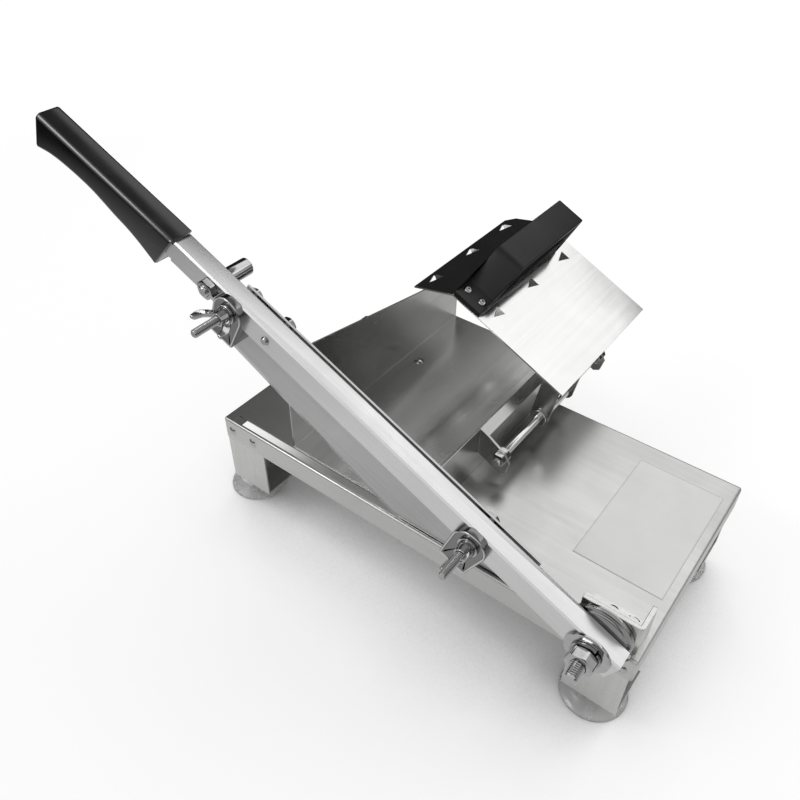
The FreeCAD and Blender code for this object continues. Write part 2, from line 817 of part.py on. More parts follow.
def make_handle_grip():
    body = new_body("handle_grip")
    front = "lever_front - grip_front_wall"
    back = "lever_back + grip_back_wall"
    near = "lever_length"
    outline = [(near, "grip_top"), (near + " + grip_length", "grip_top - grip_slope"),
               (near + " + grip_length", "-grip_end_drop"),
               (near + " + grip_length - grip_hook", "-grip_hook_drop")]
    for name in ("waist", "belly", "neck", "heel"):
        outline.append((near + " + grip_" + name, "-grip_%s_drop" % name))
    slab(body, "Y", [(along_lever(a), b) for a, b in outline], front, back)
    dress(body, "Fillet", "grip_edge", lambda edge: edge.BoundBox.YLength < NEAR)
    clear = "hole_clearance"
    slab(body, "Y", rectangle(
        along_lever(near + " + tang_length + " + clear), "-tang_height / 2 - " + clear,
        along_lever(near), "tang_height / 2 + " + clear),
        "lever_front - " + clear, "lever_back + " + clear, cut=True)
    settle(body, "lever")


def make_stop_pin():
    across = along_lever("stop_reach")
    reach = "stop_nut_height + lever_gauge + stop_shoulder"
    stud = rod_piece("stop_pin_stud", "stop_stud / 2", reach,
                     (across, "lever_back - (%s)" % reach, "stop_rise"))
    post = rod_piece("stop_pin_post", "stop_diameter / 2", "stop_length",
                     (across, "lever_back", "stop_rise"))
    settle(joined("stop_pin", [stud, post]), "lever")
    nut = nut_piece("stop_nut", "stop_nut_flats", "stop_stud / 2 + hole_clearance",
                    "stop_nut_height", (across, "lever_front - stop_nut_height", "stop_rise"))
    settle(nut, "lever")


def make_blade():
    body = new_body("blade")
    outline = [("blade_near", "blade_top"), ("blade_far", "blade_top"),
               ("blade_far", "-blade_far_depth"),
               ("blade_near + blade_corner_reach", "-blade_near_depth"),
               ("blade_near", "-blade_near_depth + blade_corner_rise")]
    slab(body, "Y", [(along_lever(a), b) for a, b in outline], "blade_front", "blade_back")

    def is_cutting_edge(edge):
        box = edge.BoundBox
        return (abs(box.XLength - value_of("blade_far - blade_near - blade_corner_reach")) < NEAR
                and box.YMax < value_of("blade_front") + NEAR)

    bevel = dress(body, "Chamfer", "blade_gauge - blade_land", is_cutting_edge)
    bevel.ChamferType = "Two distances"
    bevel.setExpression("Size2", bound("blade_bevel"))
    for reach, drop in bolt_spots():
        disc(body, "Y", (along_lever(reach), drop), "bolt_diameter / 2 + hole_clearance",
             "blade_front", "blade_back", cut=True)
    settle(body, "lever")


def make_blade_fasteners():
    spacers = []
    bolts = []
    for number, (reach, drop) in enumerate(bolt_spots()):
        at = along_lever(reach)
        spacers.append(ring_piece("blade_spacer_%d" % number, "blade_spacer_diameter / 2",
                                  "bolt_diameter / 2 + hole_clearance", "blade_gap",
                                  (at, "lever_back", drop)))
        front = "bolt_front" if number < 2 else "lever_front - screw_end"
        shank = rod_piece("blade_bolt_shank_%d" % number, "bolt_diameter / 2",
                          "blade_back - (%s)" % front, (at, front, drop))
        head = hexagon_piece("blade_bolt_head_%d" % number, "bolt_flats", "bolt_head",
                             (at, "blade_back", drop))
        bolts.append(joined("blade_bolt_%d" % number, [shank, head]))
    settle(grouped("blade_spacers", spacers), "lever")
    settle(grouped("wing_bolts", bolts[:2]), "lever")
    screw = bolts[2]
    screw.Label = "blade_screw"
    settle(screw, "lever")


def make_clamp_block(label, reach):
    body = new_body(label)
    centre = along_lever(reach)
    low = "-bolt_drop - clamp_depth"
    outline = [(centre + " - clamp_radius", "-bolt_drop"), (centre + " + clamp_radius", "-bolt_drop"),
               (centre + " + clamp_foot", low), (centre + " - clamp_foot", low)]
    disc(body, "Y", (centre, "-bolt_drop"), "clamp_radius", "clamp_front", "lever_front")
    slab(body, "Y", outline, "clamp_front", "lever_front")
    slab(body, "Y", rectangle(centre + " - clamp_foot", low, centre + " + clamp_foot",
                              "-lever_height / 2 - face_clearance"),
         "clamp_front", "lever_back - clamp_under")
    disc(body, "Y", (centre, "-bolt_drop"), "clamp_radius - clamp_rim", "clamp_front",
         "clamp_seat", cut=True)
    inner = "clamp_foot - clamp_rim"
    wide = "clamp_radius - clamp_rim"
    slab(body, "Y", [(centre + " - " + "(%s)" % wide, "-bolt_drop"),
                     (centre + " + (%s)" % wide, "-bolt_drop"),
                     (centre + " + (%s)" % inner, low + " + clamp_rim"),
                     (centre + " - (%s)" % inner, low + " + clamp_rim")],
         "clamp_front", "clamp_seat", cut=True)
    disc(body, "Y", (centre, "-bolt_drop"), "bolt_diameter / 2 + hole_clearance",
         "clamp_front", "lever_front", cut=True)
    settle(body, "lever")


def make_clamp_washers():
    rings = [ring_piece("clamp_washer_%d" % number, "clamp_washer_diameter / 2",
                        "bolt_diameter / 2 + hole_clearance", "clamp_washer_gauge",
                        (along_lever(reach), "clamp_seat - clamp_washer_gauge", drop))
             for number, (reach, drop) in enumerate(wing_bolt_spots())]
    settle(grouped("clamp_washers", rings), "lever")


def bolt_place(reach):
    """Working-frame place across and up of a bolt on the lever at rest."""
    across = "pivot_across - (%s) * cos(lever_angle) - bolt_drop * sin(lever_angle)" % reach
    up = "pivot_rise + (%s) * sin(lever_angle) - bolt_drop * cos(lever_angle)" % reach
    return across, up


def make_wing_nut(label, reach, angle):
    body = new_body(label)
    disc(body, "Y", ("0", "0"), "wing_hub / 2", "-wing_hub_height", "0")
    for sign in ("", "-"):
        slab(body, "Z", [
            (sign + "wing_hub / 4", "-wing_bevel"), (sign + "wing_hub / 2", "-wing_bevel"),
            (sign + "wing_reach", "-wing_hub_height - wing_bevel"),
            (sign + "wing_reach", "-wing_hub_height - wing_flare + wing_bevel"),
            (sign + "(wing_reach - wing_bevel)", "-wing_hub_height - wing_flare"),
            (sign + "(wing_reach - wing_tip)", "-wing_hub_height - wing_flare + wing_bevel"),
            (sign + "wing_hub / 4", "-wing_hub_height + wing_bevel")],
            "-wing_gauge / 2", "wing_gauge / 2")
    disc(body, "Y", ("0", "0"), "bolt_diameter / 2 + running_clearance",
         "-wing_hub_height - wing_flare", "0", cut=True)
    across, up = bolt_place(reach)
    settle(body, (across, "wing_back", up), angle)


def trough_rivet_spots():
    return [(across, back) for across in ("trough_left + trough_rivet_inset",
                                          "trough_right - trough_rivet_inset")
            for back in ("trough_rivet_front", "trough_rivet_back")]


def ear_outline():
    """Outline of an ear of the trough, in X and Z, folded out of the right wall."""
    return [("trough_right - sheet_gauge", "rod_rise - ear_root"),
            ("rod_across - 2 * ear_bevel", "rod_rise - ear_toe + ear_bevel"),
            ("rod_across", "rod_rise - ear_toe"),
            ("rod_across + 2 * ear_bevel", "rod_rise - ear_toe + ear_bevel"),
            ("rod_across + ear_reach", "rod_rise - ear_bevel"),
            ("rod_across + ear_bevel", "rod_rise + 2 * ear_bevel"),
            ("trough_right + lip_reach", "trough_low - lip_drop"),
            ("trough_right - sheet_gauge", "trough_low")]


def make_trough():
    body = new_body("meat_trough")
    slab(body, "Z", rectangle("trough_left", "trough_front", "trough_right", "trough_back"),
         "0", "sheet_gauge")
    slab(body, "X", [("trough_front", "0"), ("trough_back", "0"),
                     ("trough_back", "trough_high_back"),
                     ("trough_front + trough_cut", "trough_high"),
                     ("trough_front", "trough_high - trough_cut")],
         "trough_left", "trough_left + sheet_gauge")
    slab(body, "X", rectangle("trough_front", "0", "trough_back", "trough_low"),
         "trough_right - sheet_gauge", "trough_right")
    lip_out = "trough_right + lip_reach"
    under = "trough_low - sheet_gauge - lip_under"
    slab(body, "Y", [("trough_right - sheet_gauge", "trough_low"),
                     ("trough_right", "trough_low"), (lip_out, "trough_low - lip_drop"),
                     (lip_out + " - lip_under", "trough_low - lip_drop - sheet_gauge"),
                     ("trough_right", under), ("trough_right - sheet_gauge", under)],
         "ear_front", "trough_back")
    for start in ("ear_front", "ear_back"):
        slab(body, "Y", ear_outline(), start, start + " + ear_gauge")
        disc(body, "Y", ("rod_across", "rod_rise"), "rod_diameter / 2 + hole_clearance",
             start, start + " + ear_gauge", cut=True)
    for across, back in trough_rivet_spots():
        disc(body, "Z", (across, back), "rivet_diameter / 2 + hole_clearance",
             "0", "sheet_gauge", cut=True)
    settle(body)


def make_trough_rivets():
    rivets = [rivet_solid("trough_rivet_%d" % number, across, back, "sheet_gauge",
                          "2 * sheet_gauge", (0, 0, 1), "0")
              for number, (across, back) in enumerate(trough_rivet_spots())]
    settle(grouped("trough_rivets", rivets))


def on_rod(depth):
    return ("rod_across", depth, "rod_rise")


def make_guide_rod():
    bar = rod_piece("guide_rod_bar", "rod_diameter / 2",
                    "trough_back - ear_front + 2 * rod_overhang",
                    on_rod("ear_front - rod_overhang"))
    settle(grouped("guide_rod", [bar]))
    bore = "rod_diameter / 2 + hole_clearance"
    spots = ["ear_front - rod_nut_height", "ear_front + ear_gauge",
             "ear_back - rod_nut_height", "trough_back"]
    nuts = [nut_piece("rod_nut_%d" % number, "rod_nut_flats", bore, "rod_nut_height",
                      on_rod(depth)) for number, depth in enumerate(spots)]
    settle(grouped("rod_nuts", nuts))


def make_slide_bush():
    body = new_body("slide_bush")
    end = "bush_front + bush_length"
    centre = ("rod_across", "rod_rise")
    disc(body, "Y", centre, "bush_diameter / 2", "bush_front", end)
    disc(body, "Y", centre, "collar_diameter / 2", "bush_front", "bush_front + collar_width")
    disc(body, "Y", centre, "collar_diameter / 2", end + " - collar_width", end)
    disc(body, "Y", centre, "rod_diameter / 2 + running_clearance", "bush_front", end, cut=True)
    settle(body)


def tooth_depths():
    return ["pusher_front + tooth_first + %d * tooth_pitch" % number for number in range(3)]


def face_point(side, along, depth):
    """A point of a pusher slope: a distance down from the ridge and a depth into the sheet."""
    sign, slope = ("+", "face_slope") if side == "right" else ("-", "left_slope")
    across = "ridge_across %s ((%s) * cos(%s) - (%s) * sin(%s))" % (
        sign, along, slope, depth, slope)
    up = "ridge_rise - (%s) * sin(%s) - (%s) * cos(%s)" % (along, slope, depth, slope)
    return across, up


def punch_teeth(body, side, along):
    """Cut three-cornered openings in a slope, each with its tooth bent down at one edge."""
    ends = ("(%s) - tooth_base / 2" % along, "(%s) + tooth_base / 2" % along)
    for depth in tooth_depths():
        opening = [(face_point(side, end, "0")[0], depth) for end in ends]
        opening.append((face_point(side, along, "0")[0], depth + " - tooth_length"))
        slab(body, "Z", opening, "pusher_right_rise", "ridge_rise", cut=True)
        tooth = [face_point(side, end, "pusher_gauge / 2") for end in ends]
        tooth.append(face_point(side, along, "pusher_gauge / 2 + tooth_length"))
        slab(body, "Y", tooth, depth, depth + " + pusher_gauge")


def make_pusher_plate():
    body = new_body("pusher_plate")
    hem = "pusher_right_rise - pusher_hem"
    slab(body, "Y", [
        ("pusher_left", "pusher_left_rise"),
        ("pusher_left", "pusher_left_rise - pusher_gauge / cos(left_slope)"),
        ("ridge_across", "ridge_rise - pusher_gauge / cos(face_slope)"),
        ("pusher_right - 1.5 * pusher_gauge", "pusher_right_rise - pusher_gauge / 2"),
        ("pusher_right - pusher_hem_lean - pusher_gauge", hem),
        ("pusher_right - pusher_hem_lean", hem),
        ("pusher_right", "pusher_right_rise"), ("ridge_across", "ridge_rise")],
        "pusher_front", "pusher_back")
    slab(body, "Z", [("pusher_left - pusher_gauge", "pusher_back - pusher_clip"),
                     ("pusher_left + pusher_clip", "pusher_back + pusher_gauge"),
                     ("pusher_left - pusher_gauge", "pusher_back + pusher_gauge")],
         "pusher_left_rise - pusher_clip", "ridge_rise", cut=True)
    punch_teeth(body, "right", "tooth_right")
    punch_teeth(body, "left", "tooth_left")
    settle(body)


def make_cheek(label, start):
    body = new_body(label)
    end = start + " + cheek_gauge"
    disc(body, "Y", ("rod_across", "rod_rise"), "cheek_radius", start, end)
    under = ("ridge_rise - ((%s) - ridge_across) * tan(face_slope)"
             " - pusher_gauge / cos(face_slope) - 2 * face_clearance")
    left = "rod_across - cheek_left"
    right = "pusher_right - pusher_hem_lean - pusher_gauge - face_clearance"
    slab(body, "Y", [("rod_across - cheek_radius", "rod_rise"), (left, under % left),
                     (right, under % right),
                     (right, "pusher_right_rise - pusher_hem"),
                     ("rod_across + cheek_radius", "rod_rise")], start, end)
    disc(body, "Y", ("rod_across", "rod_rise"), "bush_diameter / 2 + running_clearance",
         start, end, cut=True)
    settle(body)


def make_pusher_handle():
    body = new_body("pusher_handle")
    front = "pusher_front"
    top_front = front + " + handle_foot + handle_lean"
    top_back = top_front + " + handle_length"
    back_foot = top_back + " - handle_back_lean"
    gauge = "handle_gauge"
    outline = [
        (front, "0"), (front + " + handle_foot + handle_shoulder", "0"),
        (top_front + " + handle_shoulder", "handle_rise - handle_gauge"),
        (top_back + " - handle_gauge - handle_shoulder", "handle_rise - handle_gauge"),
        (back_foot + " - handle_gauge", gauge),
        (back_foot + " - handle_back_foot", gauge), (back_foot + " - handle_back_foot", "0"),
        (back_foot, "0"), (top_back, "handle_rise"), (top_front, "handle_rise"),
        (front + " + handle_foot - handle_shoulder", gauge), (front, gauge)]
    slab(body, "X", outline, "handle_inset", "handle_inset + handle_width")
    for across, back in handle_screw_spots():
        disc(body, "Z", (across, back), "handle_screw_diameter / 2 + hole_clearance",
             "-1", "handle_gauge", cut=True)
    settle(body, "face")


def handle_screw_spots():
    middle = "handle_inset + handle_width / 2"
    back_foot = "pusher_front + handle_foot + handle_lean + handle_length - handle_back_lean"
    return [(middle + " - handle_screw_spread / 2", "pusher_front + handle_foot / 2"),
            (middle + " + handle_screw_spread / 2", "pusher_front + handle_foot / 2"),
            (middle, back_foot + " - handle_gauge / 2 - handle_back_foot / 2")]


def make_handle_screws():
    screws = []
    for number, (across, back) in enumerate(handle_screw_spots()):
        shank = rod_piece("handle_screw_shank_%d" % number, "handle_screw_diameter / 2",
                          "handle_gauge", (across, back, "0"), (0, 0, 1), "0")
        head = rod_piece("handle_screw_head_%d" % number, "handle_screw_head / 2",
                         "handle_screw_rise", (across, back, "handle_gauge"), (0, 0, 1), "0")
        screws.append(joined("handle_screw_%d" % number, [shank, head]))
    settle(grouped("handle_screws", screws), "face")


def build_all():
    fill_table()
    make_base_tray()
    make_blank_label()
    for side in ("front", "rear"):
        for end in ("left", "right"):
            make_leg(side, end)
            make_suction_cup(side, end)
    make_leg_rivets()
    make_cup_studs()
    make_cup_nuts()
    make_pivot_bracket()
    make_pivot_angle()
    make_pivot_bolt()
    make_pivot_stack()
    make_bracket_fasteners()
    make_lever_bar()
    make_handle_grip()
    make_stop_pin()
    make_blade()
    make_blade_fasteners()
    make_clamp_block("clamp_block_far", "bolt_far")
    make_clamp_block("clamp_block_near", "bolt_near")
    make_clamp_washers()
    make_wing_nut("wing_nut_far", "bolt_far", "wing_far_angle")
    make_wing_nut("wing_nut_near", "bolt_near", "wing_near_angle")
    make_trough()
    make_trough_rivets()
    make_guide_rod()
    make_slide_bush()
    make_pusher_plate()
    make_cheek("pusher_cheek_front", "cheek_front")
    make_cheek("pusher_cheek_rear", "cheek_rear")
    make_pusher_handle()
    make_handle_screws()


def stand_on_bench():
    """Shift every piece so that the origin is under the middle of the whole machine."""
    document.recompute()
    box = FreeCAD.BoundBox()
    for item in pieces:
        box.add(item.Shape.optimalBoundingBox(True, False))
    rows = {"shift_right": -box.Center.x, "shift_back": -box.Center.y, "shift_up": -box.ZMin}
    for name, value in rows.items():
        table.set(table.getCellFromAlias(name), repr(round(value, 3)))
    document.recompute()


def check_all():
    for item in document.Objects:
        if "Invalid" in item.State or "Error" in item.State:
            raise RuntimeError("failed object: " + item.Name)
    for item in pieces:
        if item.Shape.isNull() or not item.Shape.isValid():
            raise RuntimeError("bad shape: " + item.Label)


def report_joints():
    """Print the joint places in metres, in the finished frame."""
    shift = [value_of(name) for name in ("shift_right", "shift_back", "shift_up")]
    spots = {"lever_hinge": ("pivot_across", "(lever_front + lever_back) / 2", "pivot_rise"),
             "pusher_hinge": ("rod_across", "bush_front + bush_length / 2", "rod_rise"),
             "bench": ("base_length / 2", "base_depth / 2", "bench_height")}
    for label, reach in (("wing_nut_far", "bolt_far"), ("wing_nut_near", "bolt_near")):
        across, up = bolt_place(reach)
        spots[label] = (across, "wing_back", up)
    for name, spot in spots.items():
        values = [round((value_of(text) + move) / 1000, 6) for text, move in zip(spot, shift)]
        print(name, values)


def write_steps():
    os.makedirs("parts", exist_ok=True)
    for item in pieces:
        item.Shape.exportStep(os.path.join("parts", item.Label + ".step"))


build_all()
stand_on_bench()
check_all()
write_steps()
report_joints()
print(len(pieces), "sub-parts")
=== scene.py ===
import json
import math

import bmesh
import bpy
from mathutils import Matrix, Vector


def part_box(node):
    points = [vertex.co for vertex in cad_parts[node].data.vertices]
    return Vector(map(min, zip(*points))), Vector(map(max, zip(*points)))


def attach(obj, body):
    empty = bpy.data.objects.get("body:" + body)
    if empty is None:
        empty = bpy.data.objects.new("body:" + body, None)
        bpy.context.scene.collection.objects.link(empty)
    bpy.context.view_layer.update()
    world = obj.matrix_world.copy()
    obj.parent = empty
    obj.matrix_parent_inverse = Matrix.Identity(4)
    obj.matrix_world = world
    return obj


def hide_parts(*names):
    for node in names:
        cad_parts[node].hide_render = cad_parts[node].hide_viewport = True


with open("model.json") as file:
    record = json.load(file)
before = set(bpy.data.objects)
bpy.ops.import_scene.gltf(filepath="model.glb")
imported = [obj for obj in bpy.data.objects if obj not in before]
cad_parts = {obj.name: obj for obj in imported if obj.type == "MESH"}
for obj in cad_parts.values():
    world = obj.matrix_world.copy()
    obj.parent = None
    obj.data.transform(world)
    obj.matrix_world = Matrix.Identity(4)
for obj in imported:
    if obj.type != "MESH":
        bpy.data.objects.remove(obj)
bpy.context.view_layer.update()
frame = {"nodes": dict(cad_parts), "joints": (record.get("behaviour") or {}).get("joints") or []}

MM = 0.001
TURN = 2 * math.pi

# Places are in millimetres from the tray's front left top corner, across, back and up.
tray_low, tray_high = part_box("base_tray")
CORNER = Vector((tray_low.x, tray_low.y, tray_high.z))
JOINTS = {joint["name"]: joint for joint in frame["joints"]}
HINGE = Vector(JOINTS["lever_hinge"]["pos_m"])
LEVER_TILT = math.radians(24.4)
FACE_SLOPE = math.atan2(46, 98)
CORNER_NAMES = ("front_left", "front_right", "rear_left", "rear_right")

# Depths in front of the tray's front face.
LEVER_FRONT = 15
LEVER_BACK = 0.5
CLAMP_DISH = 19.2
BOLT_SHANK_START = -4.5
BOLT_HEAD_START = -8.5

# The front end of the pusher's ridge, the strap on its right face, and the hem at its right edge,
# below which the sheet is painted in shade.
FACE_START = (123, 130, 97)
STRAP_WIDTH = 25
STRAP_GAUGE = 4
HEM_PLACE = (215, 0, 50.4)

# The guide rod, and the nuts that stand on either side of the trough's ears.
ROD_ACROSS = 206
ROD_UP = 22.5
ROD_NUT_STARTS = (71, 77, 219, 225)

# The stud behind the bracket, and the screws in the angle's foot.
STUD_PLACE = (337, 0, 14)
FOOT_SCREWS_ACROSS = (322, 336)
FOOT_SCREWS_BACK = 22.5
FOOT_GAUGE = 3

# The lever's bolts, measured from the hinge along the lever and square to it.
WING_BOLTS = {"far": 300, "near": 91}
WING_BOLT_UP = -1.5
BLADE_BOLT_ALONG = 270
STOP_PLACE = (320.5, 1)
HEAD_TURN = Matrix.Rotation(math.radians(27), 4, "Z")
WING_NUT_TURNS = {"far": math.radians(-10), "near": math.radians(-125)}


def on_tray(across, back, up):
    return CORNER + Vector((across, back, up)) * MM


def axes(right, up, out):
    """Turning matrix whose columns are the three given directions."""
    return Matrix((right, up, out)).transposed().to_4x4()


def facing_front(place, turn=0.0):
    """Matrix of a piece whose own Z points to the front of the machine."""
    stand = axes((1, 0, 0), (0, 0, 1), (0, -1, 0))
    return Matrix.Translation(place) @ stand @ Matrix.Rotation(turn, 4, "Z")


def on_lever(along, up, depth):
    """Matrix of a piece on the lever: X towards the hinge, Y up, Z to the front."""
    tilt = Matrix.Rotation(-LEVER_TILT, 4, "Z")
    start = facing_front((HINGE.x, CORNER.y, HINGE.z)) @ tilt
    return start @ Matrix.Translation(Vector((-along, up, depth)) * MM)


def on_pusher_face(down_slope, back, out):
    """Matrix of a piece on the pusher's right face: X to the back, Y out, Z down the slope."""
    slope = Vector((math.cos(FACE_SLOPE), 0, -math.sin(FACE_SLOPE)))
    normal = Vector((math.sin(FACE_SLOPE), 0, math.cos(FACE_SLOPE)))
    start = Matrix.Translation(on_tray(*FACE_START)) @ axes((0, 1, 0), normal, slope)
    return start @ Matrix.Translation(Vector((back, out, down_slope)) * MM)


# Shapes in mesh code. Every shape is made in millimetres around its own zero.

# How much of a side the rounding of one of its corners may take.
SIDE_SHARE = 0.48
# A hexagon's rubbed corner as a share of its sharp one, and the slope of its turned-off ends.
RUBBED_CORNER = 0.975
CORNER_SLOPE = math.radians(30)


def skin(rings, loop=False):
    """A mesh with faces between neighbouring rings of points."""
    mesh = bmesh.new()
    made = [[mesh.verts.new(Vector(point) * MM) for point in ring] for ring in rings]
    pairs = list(zip(made, made[1:]))
    if loop:
        pairs.append((made[-1], made[0]))
    for lower, upper in pairs:
        for i in range(max(len(lower), len(upper))):
            corners = []
            for vert in (lower[i % len(lower)], lower[(i + 1) % len(lower)],
                         upper[(i + 1) % len(upper)], upper[i % len(upper)]):
                if vert not in corners:
                    corners.append(vert)
            mesh.faces.new(corners)
    if not loop:
        for ring in (made[0], made[-1]):
            if len(ring) > 2:
                mesh.faces.new(ring)
    return mesh


def rounded(points, reach, steps=3, closed=True):
    """The outline with its corners rounded, each starting at the given distance before it."""
    result = []
    count = len(points)
    for i, point in enumerate(points):
        size = reach[i] if isinstance(reach, (list, tuple)) else reach
        if size == 0 or (not closed and i in (0, count - 1)):
            result.append(tuple(point))
            continue
        here = Vector(point)
        before = Vector(points[i - 1]) - here
        after = Vector(points[(i + 1) % count]) - here
        cut = min(size, before.length * SIDE_SHARE, after.length * SIDE_SHARE)
        start = here + before.normalized() * cut
        end = here + after.normalized() * cut
        for step in range(steps + 1):
            t = step / steps
            result.append(tuple(start * (1 - t) ** 2 + here * 2 * t * (1 - t) + end * t * t))
    return result


def inset(outline, distance):
    """A counter-clockwise outline moved inwards."""
    result = []
    count = len(outline)
    for i, point in enumerate(outline):
        here = Vector(point)
        before = (here - Vector(outline[i - 1])).normalized()
        after = (Vector(outline[(i + 1) % count]) - here).normalized()
        left = Vector((-before.y, before.x))
        right = Vector((-after.y, after.x))
        push = (left + right) * (distance / max(0.4, 1 + left.dot(right)))
        result.append(tuple(here + push))
    return result


def lathe(profile, around=48, loop=False):
    """A turned shape: the profile gives radius and height around Z."""
    rings = []
    for radius, height in profile:
        count = around if radius > 0 else 1
        rings.append([(radius * math.cos(TURN * i / count), radius * math.sin(TURN * i / count),
                       height) for i in range(count)])
    return skin(rings, loop)


def washer(outer, bore, thick, soft=0.3, around=64):
    return lathe(rounded([(bore, 0), (outer, 0), (outer, thick), (bore, thick)], soft),
                 around, loop=True)


def pillow(outline, low, high, soft, steps=3):
    """A slab of the outline along Z whose rims are rounded."""
    levels = []
    for step in range(steps + 1):
        angle = math.pi / 2 * step / steps
        levels.append((soft * (1 - math.sin(angle)), soft * (1 - math.cos(angle))))
    rings = []
    for step in levels:
        rings.append([(x, y, low + step[1]) for x, y in inset(outline, step[0])])
    for step in reversed(levels):
        rings.append([(x, y, high - step[1]) for x, y in inset(outline, step[0])])
    return skin(rings)


def hexagon_radius(flats, angle):
    """Distance to a hexagon's side, its corners a little rubbed."""
    corner = flats / 2 / math.cos(math.pi / 6)
    side = flats / 2 / math.cos(angle % (math.pi / 3) - math.pi / 6)
    return min(side, corner * RUBBED_CORNER)


def hexagon(flats, height, bore=0.0, around=72):
    """A hexagon nut or head along Z with its corners turned off at both ends."""
    face = flats / 2 * 0.95
    angles = [TURN * i / around for i in range(around)]

    def circle(radius, level):
        return [(radius * math.cos(a), radius * math.sin(a), level) for a in angles]

    def sides(level, lean):
        ring = []
        for a in angles:
            radius = hexagon_radius(flats, a)
            drop = (radius - face) * math.tan(CORNER_SLOPE)
            ring.append((radius * math.cos(a), radius * math.sin(a), level + lean * drop))
        return ring

    outer = [circle(face, 0), sides(0, 1), sides(height, -1), circle(face, height)]
    if not bore:
        return skin([[(0, 0, 0)]] + outer + [[(0, 0, height)]])
    lead = 0.5
    inner = [circle(bore, height - lead), circle(bore, lead), circle(bore + lead, 0)]
    return skin([circle(bore + lead, 0)] + outer + [circle(bore + lead, height)] + inner[:2],
                loop=True)


def threaded(radius, pitch, length, plain=0.0, around=36):
    """A round bar along Z with a screw thread up to its free end."""
    steps = int(length / pitch * 8)
    depth = 0.6 * pitch
    rings = [[(0, 0, 0)]]
    for step in range(steps + 1):
        height = length * step / steps
        ring = []
        for i in range(around):
            phase = (height / pitch - i / around) % 1
            groove = min(1.0, 1.15 * (1 - abs(2 * phase - 1)))
            here = radius - (depth * groove if height > plain else 0)
            here = min(here, radius - pitch * 0.8 + (length - height))
            angle = TURN * i / around
            ring.append((here * math.cos(angle), here * math.sin(angle), height))
        rings.append(ring)
    rings.append([(0, 0, length)])
    return skin(rings)


def split_ring(outer, bore, thick, rise, around=64):
    """A spring washer: one turn of square wire with its cut ends a little apart."""
    gap = 0.16
    section = rounded([(bore, 0), (outer, 0), (outer, thick), (bore, thick)], 0.35, 2)
    rings = []
    for step in range(around + 1):
        t = step / around
        angle = gap / 2 + t * (TURN - gap)
        rings.append([(r * math.cos(angle), r * math.sin(angle), z + rise * t)
                      for r, z in section])
    return skin(rings)


def socket_screw(head, rise, shank, length, key):
    """A round-headed screw along Z with a six-sided socket, its head resting at zero."""
    around = 48
    angles = [TURN * i / around for i in range(around)]

    def circle(radius, level):
        return [(radius * math.cos(a), radius * math.sin(a), level) for a in angles]

    def key_ring(level):
        return [(hexagon_radius(key, a) * math.cos(a), hexagon_radius(key, a) * math.sin(a), level)
                for a in angles]

    floor = rise * 0.3
    rings = [[(0, 0, floor)], key_ring(floor), key_ring(rise * 0.97), circle(key * 0.75, rise)]
    for share, level in ((0.72, 0.86), (0.88, 0.62), (0.97, 0.32), (1.0, 0.0)):
        rings.append(circle(head * share, rise * level))
    rings += [circle(shank, 0), circle(shank, -length + 0.5), circle(shank - 0.5, -length),
              [(0, 0, -length)]]
    return skin(rings)


def wing_blade(side):
    """One wing of a wing nut, a leaf with a square end that flares outwards and forwards."""
    leaf = [(2.6, 1.0), (6.4, 1.5), (10.9, 5.2), (14.0, 9.0), (14.5, 12.0), (13.9, 16.9),
            (10.2, 16.4), (8.4, 10.6), (4.6, 6.6), (2.6, 6.0)]
    outline = rounded(leaf, 1.1, 4)
    mesh = pillow(outline, -1.4, 1.4, 0.8)
    mesh.transform(axes((1, 0, 0), (0, 0, 1), (0, -1, 0)))
    if side < 0:
        mesh.transform(Matrix.Rotation(math.pi, 4, "Z"))
    return mesh


def wing_hub():
    profile = rounded([(3.1, 0), (6, 0), (5.7, 2.6), (4.7, 6.9), (3.1, 6.9)], 0.5)
    return lathe(profile, 48, loop=True)


def arch(radius, foot, depth, steps=28):
    """Outline of a clamp block: a round top over sides that draw in to the foot."""
    points = [(radius * math.cos(math.pi * i / steps), radius * math.sin(math.pi * i / steps))
              for i in range(steps + 1)]
    lean = (radius - foot) / depth
    sides = []
    rows = 8
    for row in range(1, rows):
        drop = depth * row / rows
        sides.append((-(radius - lean * drop), -drop))
    foot_corner = rounded([(-(radius - lean * (depth - 2)), -(depth - 2)), (-foot, -depth),
                           (-(foot - 2), -depth)], 1.6, 4, closed=False)[1:-1]
    bottom = [(-foot + 2 * foot * i / rows, -depth) for i in range(1, rows)]
    left = sides + foot_corner
    right = [(-x, y) for x, y in reversed(left)]
    return points + left + bottom + right


def dished_plate(outline, thick, bore):
    """The front plate of a clamp block: a rounded rim around a sunken face."""
    levels = [(0, 0), (0, thick - 1.5), (0.1, thick - 0.9), (0.4, thick - 0.35),
              (0.85, thick - 0.05), (1.15, thick - 0.05), (1.5, thick - 0.3),
              (1.8, thick - 0.7), (2.4, thick - 0.85)]
    rings = [[(x, y, level) for x, y in inset(outline, step)] for step, level in levels]
    hole = []
    for x, y in outline:
        angle = math.atan2(y + 3, x)
        hole.append((bore * math.cos(angle), bore * math.sin(angle)))
    rings.append([(x, y, thick - 0.85) for x, y in hole])
    rings.append([(x, y, 0) for x, y in hole])
    return skin(rings, loop=True)


def clamp_hook():
    """The part of a clamp block that reaches back under the lever."""
    outline = rounded([(-10.5, -25.9), (10.5, -25.9), (11.2, -8.2), (-11.2, -8.2)], 1.2)
    return pillow(outline, -12, 1.5, 0.7)


